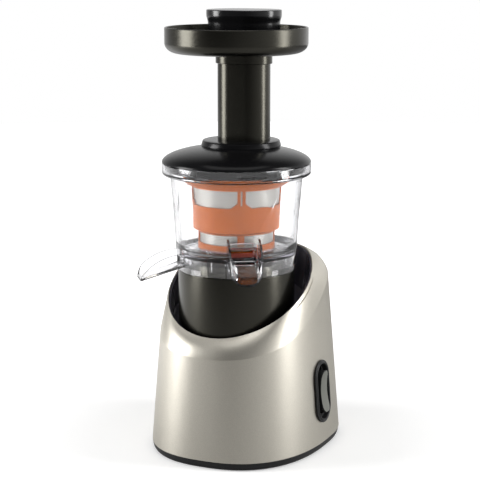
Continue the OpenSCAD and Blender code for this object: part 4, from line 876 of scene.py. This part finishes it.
# tray: a dish with a rolled corner, a thin rim and a collar that slips over the tube
traySizes = {"radius": 73.4, "low": 416.6, "floor": 419.0, "top": 443.0, "wall": 2.2, "cornerWide": 14.0,
             "cornerHigh": 10.5, "flat": 30, "rimRound": 1.1, "rimInner": 0.7, "collar": 21.6, "collarBore": 19.75,
             "collarEnd": 405.0, "collarEdge": 0.5}


def makeTray(v):
    r, low, top, wall = v["radius"], v["low"], v["top"], v["wall"]
    rim, inner, edge = v["rimRound"], v["rimInner"], v["collarEdge"]
    corner = (r - v["cornerWide"], low + v["cornerHigh"])
    rings = [(0, low), (v["flat"], low)] + quarter(*corner, v["cornerWide"], v["cornerHigh"], -90, 0, 16)
    rings += [(r, top - rim)] + quarter(r - rim, top - rim, rim, rim, 15, 90, 5)
    rings += quarter(r - wall + inner, top - inner, -inner, inner, 90, 0, 4)
    rings += quarter(*corner, v["cornerWide"] - wall, v["cornerHigh"] - v["floor"] + low, 0, -90, 16)
    rings += [(v["flat"], v["floor"]), (0, v["floor"])]
    dish = ringStack("traySkin", rings, 128)
    bore, out, end = v["collarBore"], v["collar"], v["collarEnd"]
    sleeve = ringStack("traySleeve", [
        (bore, end + edge), (bore + edge, end), (out - edge, end), (out, end + edge), (out, low + 0.6),
        (bore, low + 0.6), (bore, end + edge)], 96, ovalSpot, ovalSizes["half"])
    hole = ringStack("trayHole", [
        (0, low - 3), (ovalSizes["bore"], low - 3), (ovalSizes["bore"], v["floor"] + 3), (0, v["floor"] + 3)],
        96, ovalSpot, ovalSizes["half"])
    cutAway(dish, hole)
    return joinTo(dish, [sleeve])


finishPiece(makeTray(traySizes), "tray", finishes["gunmetal"], ["tray"], 40)

# feed tube
tubeSizes = {"radius": 19.6, "low": 316.3, "top": 416.3, "edge": 0.6, "foot": 21.8, "footHigh": 2.4}


def makeTube(v):
    r, low, top, edge, bore = v["radius"], v["low"], v["top"], v["edge"], ovalSizes["bore"]
    rings = [(bore, low), (v["foot"], low), (v["foot"], low + v["footHigh"]), (r, low + v["footHigh"])]
    rings += [(r, top - edge)] + quarter(r - edge, top - edge, edge, edge, 20, 90, 3)
    rings += quarter(bore + edge, top - edge, -edge, edge, 90, 0, 3) + [(bore, low)]
    return ringStack("tubeSkin", rings, 112, ovalSpot, ovalSizes["half"])


finishPiece(makeTube(tubeSizes), "lid_set", finishes["gunmetal"], ["feed_tube"], 40)

# drum with its shoulder, spigot and the three keys under the bowl
drumSizes = {"radius": 61.0, "wall": 2.5, "low": 118.0, "shoulder": 193.7, "shoulderRound": 1.0, "spigot": 50.0,
             "spigotRound": 1.4, "fillet": 0.8, "deck": 203.0, "deckWall": 2.8, "collar": 14.0, "collarHigh": 4,
             "collarEdge": 0.6, "bore": 9.0, "boreLow": 6, "keyTurns": (5, 125, 245), "key": (8, 16.0, 5.5),
             "keyOut": 2, "keyRound": 0.6}


def makeDrum(v):
    r, low, high, deck, wall = v["radius"], v["low"], v["shoulder"], v["deck"], v["wall"]
    soft, tip, fillet, edge = v["shoulderRound"], v["spigotRound"], v["fillet"], v["collarEdge"]
    neck, collar, bore = v["spigot"], v["collar"], v["bore"]
    rings = [(r - wall, low), (r - 0.4, low), (r, low + 0.4), (r, high - soft)]
    rings += quarter(r - soft, high - soft, soft, soft, 15, 90, 5) + [(neck + fillet, high)]
    rings += quarter(neck + fillet, high + fillet, -fillet, -fillet, 90, 0, 3)[1:]
    rings += [(neck, deck - tip)] + quarter(neck - tip, deck - tip, tip, tip, 15, 90, 5)
    rings += [(collar + edge, deck), (collar, deck + edge), (collar, deck + v["collarHigh"] - edge)]
    rings += [(collar - edge, deck + v["collarHigh"]), (bore, deck + v["collarHigh"]), (bore, deck - v["boreLow"])]
    rings += [(collar, deck - v["boreLow"]), (collar, deck - v["deckWall"]), (neck - wall, deck - v["deckWall"])]
    rings += [(neck - wall, high - wall), (r - wall, high - wall), (r - wall, low)]
    drum = ringStack("drumSkin", rings, 128)
    place = (neck + v["keyOut"], 0, high + v["key"][2] / 2 - 0.5)
    keys = [turnInPlace(addBlock(place, v["key"]), turn - 90, v["keyRound"], 3) for turn in v["keyTurns"]]
    return joinTo(drum, keys)


finishPiece(makeDrum(drumSizes), "base", finishes["gunmetal"], ["drum"], 40)
print("pusher, tray, tube and drum made")

# lid: a dome with its plug, bayonet lugs and boss, and the ring and bush carrier under it
# each point of the boss's profile is a step out from its radius and a height over the dome's foot
lidSizes = {"edge": 77.35, "low": 305.0, "rise": 17.5, "wall": 2.6, "plug": 72.0, "plugEnd": 296.8, "boss": 41.5,
            "bossBack": 12.0, "bossTop": 326.5, "profile": (
                (2.6, 9), (1.2, 10.6), (0.1, 11.6), (-1.2, 12.3), (-1.5, 12.9), (-0.9, 14.4), (-0.2, 15.6), (0, 16.4),
                (-0.2, 17.3), (-1.2, 20.6), (-1.6, 21.2), (-2.4, 21.5)),
            "seat": 13, "ring": 49.7, "ringWall": 2.4, "ringEnd": 288.2, "carrier": 8.3, "carrierEnd": 300.0,
            "carrierLow": 8.5, "inside": (11, 12), "bushRoom": 6.22, "tubeRoom": 19.75, "tubeSink": 10.2,
            "ribTurns": (-66, 0, 66), "ribWide": 4, "ribHigh": 13, "ribMiddle": 5.5, "ribRound": 0.5,
            "lugTurns": (90, 210, 330), "lugSpan": 24.0, "lugLow": 297.0, "lugHigh": 2.8, "lugReach": 74.6}


def makeLid(v):
    low, rise, edge, plug, end = v["low"], v["rise"], v["edge"], v["plug"], v["plugEnd"]
    inner, top, bore, half = plug - v["wall"], v["bossTop"], ovalSizes["bore"], ovalSizes["half"]
    rings = [(0, low + rise - v["wall"])] + quarter(0, low, inner, rise - v["wall"], 80, 4, 20)
    rings += [(inner, low), (inner, end), (plug - 0.4, end), (plug, end + 0.4), (plug, low)]
    rings += [(edge - 0.5, low), (edge, low + 0.5)] + quarter(0, low, edge, rise, 3, 80, 28) + [(0, low + rise)]
    dome = ringStack("lidSkin", rings, 128)
    rings = [(v["boss"] + step, low + high) for step, high in v["profile"]]
    rings = [(0, rings[0][1])] + rings + [(bore + v["seat"], top), (0, top)]
    boss = ringStack("lidBoss", rings, 112, (0, axisY + v["bossBack"]))
    ring, wall, foot = v["ring"], v["ringWall"], v["ringEnd"]
    hoop = ringStack("lidHoop", [
        (ring - wall, foot), (ring - 0.3, foot), (ring, foot + 0.3), (ring, low + v["inside"][1]),
        (ring - wall, low + v["inside"][1]), (ring - wall, foot)], 96)
    r, foot = v["carrier"], v["carrierEnd"]
    carrier = ringStack("lidCarrier", [
        (0, low + v["inside"][0]), (r, low + v["inside"][0]), (r, foot + 0.4), (r - 0.4, foot), (v["bushRoom"], foot),
        (v["bushRoom"], low + v["carrierLow"]), (0, low + v["carrierLow"])], 48)
    parts = [boss, hoop, carrier]
    reach = ring - r - 0.5
    for turn in v["ribTurns"]:
        rib = addBlock((r - 1 + reach / 2, 0, low + v["ribMiddle"]), (reach, v["ribWide"], v["ribHigh"]))
        parts.append(turnInPlace(rib, turn - 90, v["ribRound"]))
    for turn in v["lugTurns"]:
        parts.append(makeArc("lidLug", plug - 1, v["lugReach"], v["lugLow"], v["lugHigh"], turn, v["lugSpan"]))
    sink = top - v["tubeSink"]
    throat = ringStack("lidThroat", [(0, low - 8), (bore, low - 8), (bore, sink), (v["tubeRoom"], sink),
                                     (v["tubeRoom"], top + 5), (0, top + 5)], 96, ovalSpot, half)
    cutAway(throat, ringStack("keepRoom", [(0, low - 9), (r, low - 9), (r, top + 6), (0, top + 6)], 48))
    for piece in (dome, boss):
        copy = throat.copy()
        copy.data = throat.data.copy()
        bpy.context.scene.collection.objects.link(copy)
        cutAway(piece, copy)
    bpy.data.objects.remove(throat)
    return joinTo(dome, parts)


finishPiece(makeLid(lidSizes), "lid_set", finishes["lid_gloss"], ["lid"], 40)
print("lid made")

# rubber feet, each with a hollow under it
footSizes = {"places": ((58, -50), (-58, -50), (54, 66), (-54, 66)), "radius": 9.0, "high": 3.5, "round": 1.0,
             "hollow": ((0, 0.7), (4.2, 0.7), (5.0, 0.1), (5.4, 0))}


def makeFeet(v):
    r, high, soft = v["radius"], v["high"], v["round"]
    rings = [*v["hollow"], (r - 1.2, 0)] + quarter(r - soft, soft, soft, soft, -70, 0, 4) + [(r, high), (0, high)]
    feet = [ringStack("footPads", rings, 48, spot) for spot in v["places"]]
    return joinTo(feet[0], feet[1:])


finishPiece(makeFeet(footSizes), "base", finishes["rubber"], ["rubber_feet"])

# switch: an oval ring with a sunk dish, and a rocker with a hollow face
# each point of the ring's profile is a step in from its radius and a height
switchSizes = {"place": (89.0487, 0.5, 63.0), "yaw": 2.6055, "lean": 0.0769424, "wide": 35.0, "long": 67.0,
               "back": -13.4, "backStep": 2.8, "edge": ((0, 0.7), (0, 1.5)), "profile": (
                   (1.1, 2.25), (1.5, 2.1), (1.8, 2.35), (2.0, 2.7), (2.4, 2.95), (3.0, 3.0), (3.5, 2.8), (3.9, 2.3),
                   (4.0, 1.4)), "deck": 1.6, "sink": 4.4, "rocker": 16.0, "turn": 25.5, "pivot": -3.0, "face": 7.3,
               "hollow": 78.0, "plan": 14.6, "foot": -5.0, "gap": 0.3}


def seatOnWall(piece, v):  # from the switch's own frame, with Z out of the wall and X down, to the housing's side
    stand = Matrix.Translation([c * mm for c in v["place"]]) @ Matrix.Rotation(math.radians(-v["yaw"]), 4, "Z")
    piece.matrix_world = stand @ Matrix.Rotation(math.radians(90) - math.atan(v["lean"]), 4, "Y")
    takeUp(piece)
    fixPlace()
    return piece


def makeBezel(v):
    r, dish, back = v["wide"] / 2, v["deck"] - v["sink"], v["back"]
    rings = [(0, back), (r - v["backStep"], back), (r - v["backStep"], 0.3), (r - 0.5, 0.3)]
    rings += [(r - step, high) for step, high in v["edge"]] + quarter(r - 0.7, 1.5, 0.7, 0.7, 20, 80, 3)
    rings += [(r - step, high) for step, high in v["profile"]]
    rings += [(r - 4.2, dish + 1.2), (r - 4.6, dish + 0.3), (r - 5.6, dish), (0, dish)]
    bezel = ringStack("bezelSkin", rings, 64, (0, 0), (v["long"] - v["wide"]) / 2)
    long, wide = 2 * v["turn"] + 1, v["rocker"]
    cutAway(bezel, addBlock((0, 0, -2), (long, wide + 2 * v["gap"], 16)))  # the slot that the rocker passes through
    cutAway(bezel, addBlock((0, 0, -9.65), (long + 2, wide + 5.6, 9.5)))  # and the room behind it
    return seatOnWall(bezel, v)


def addRoller(count, radius, wide, level):  # a cylinder that lies along Y
    clearPick()
    bpy.ops.mesh.primitive_cylinder_add(vertices=count, radius=radius * mm, depth=wide * mm,
                                        location=(0, 0, level * mm), rotation=(math.pi / 2, 0, 0))
    fixPlace()
    return bpy.context.object


def makeRocker(v):
    rocker = addRoller(128, v["turn"], v["rocker"], v["pivot"])
    rocker.name = "rockerSkin"
    cutAway(rocker, addRoller(160, v["hollow"], 40, v["face"] + v["hollow"]))
    r = v["rocker"] / 2
    plan = ringStack("rockerPlan", [(0, -30), (r, -30), (r, 20), (0, 20)], 64, (0, 0), v["plan"])
    cutAway(rocker, plan, "INTERSECT")
    takeUp(rocker)
    openMesh()
    bpy.ops.mesh.bisect(plane_co=(0, 0, v["foot"] * mm), plane_no=(0, 0, 1), use_fill=True, clear_inner=True)
    closeMesh()
    softenEdges(rocker, 0.45, 3, 50)
    rocker.data.materials.append(finishes["black_plastic"])
    rocker.data.materials.append(finishes["grey_plastic"])
    openMesh()
    centre, reach = (v["face"] + v["hollow"]) * mm, v["hollow"] * mm
    pick(rocker, "FACE", lambda co, n: abs(math.hypot(co.x, co.z - centre) - reach) < 0.00012 and abs(n.y) < 0.5)
    rocker.active_material_index = 1
    bpy.ops.object.material_slot_assign()
    closeMesh()
    rocker.data.transform(Matrix.Translation((0, 0, -v["sink"] * mm)))
    return seatOnWall(rocker, v)


finishPiece(makeBezel(switchSizes), "base", finishes["black_plastic"], ["switch_bezel"], 35)
finishPiece(makeRocker(switchSizes), "switch", None, ["rocker"], 35)
print("feet and switch made")

# two raised marks on the bowl's flange that show where the lid is closed
markSizes = {"turn": 26.0, "flange": 77.0, "sunk": 0.15, "size": (0.8, 1.0, 4.6), "low": 297.4, "apart": 2.4,
             "round": 0.2}


def makeMarks(v):
    place = (v["flange"] - v["sunk"], 0, v["low"] + v["size"][2] / 2)
    turns = [v["turn"] - 90 + math.degrees(step * v["apart"] / v["flange"]) for step in (-0.5, 0.5)]
    marks = [turnInPlace(addBlock(place, v["size"]), turn, v["round"]) for turn in turns]
    marks[0].name = "closingMarks"
    return joinTo(marks[0], marks[1:])


finishPiece(makeMarks(markSizes), "bowl", finishes["clear_plastic"])
print("marks made")
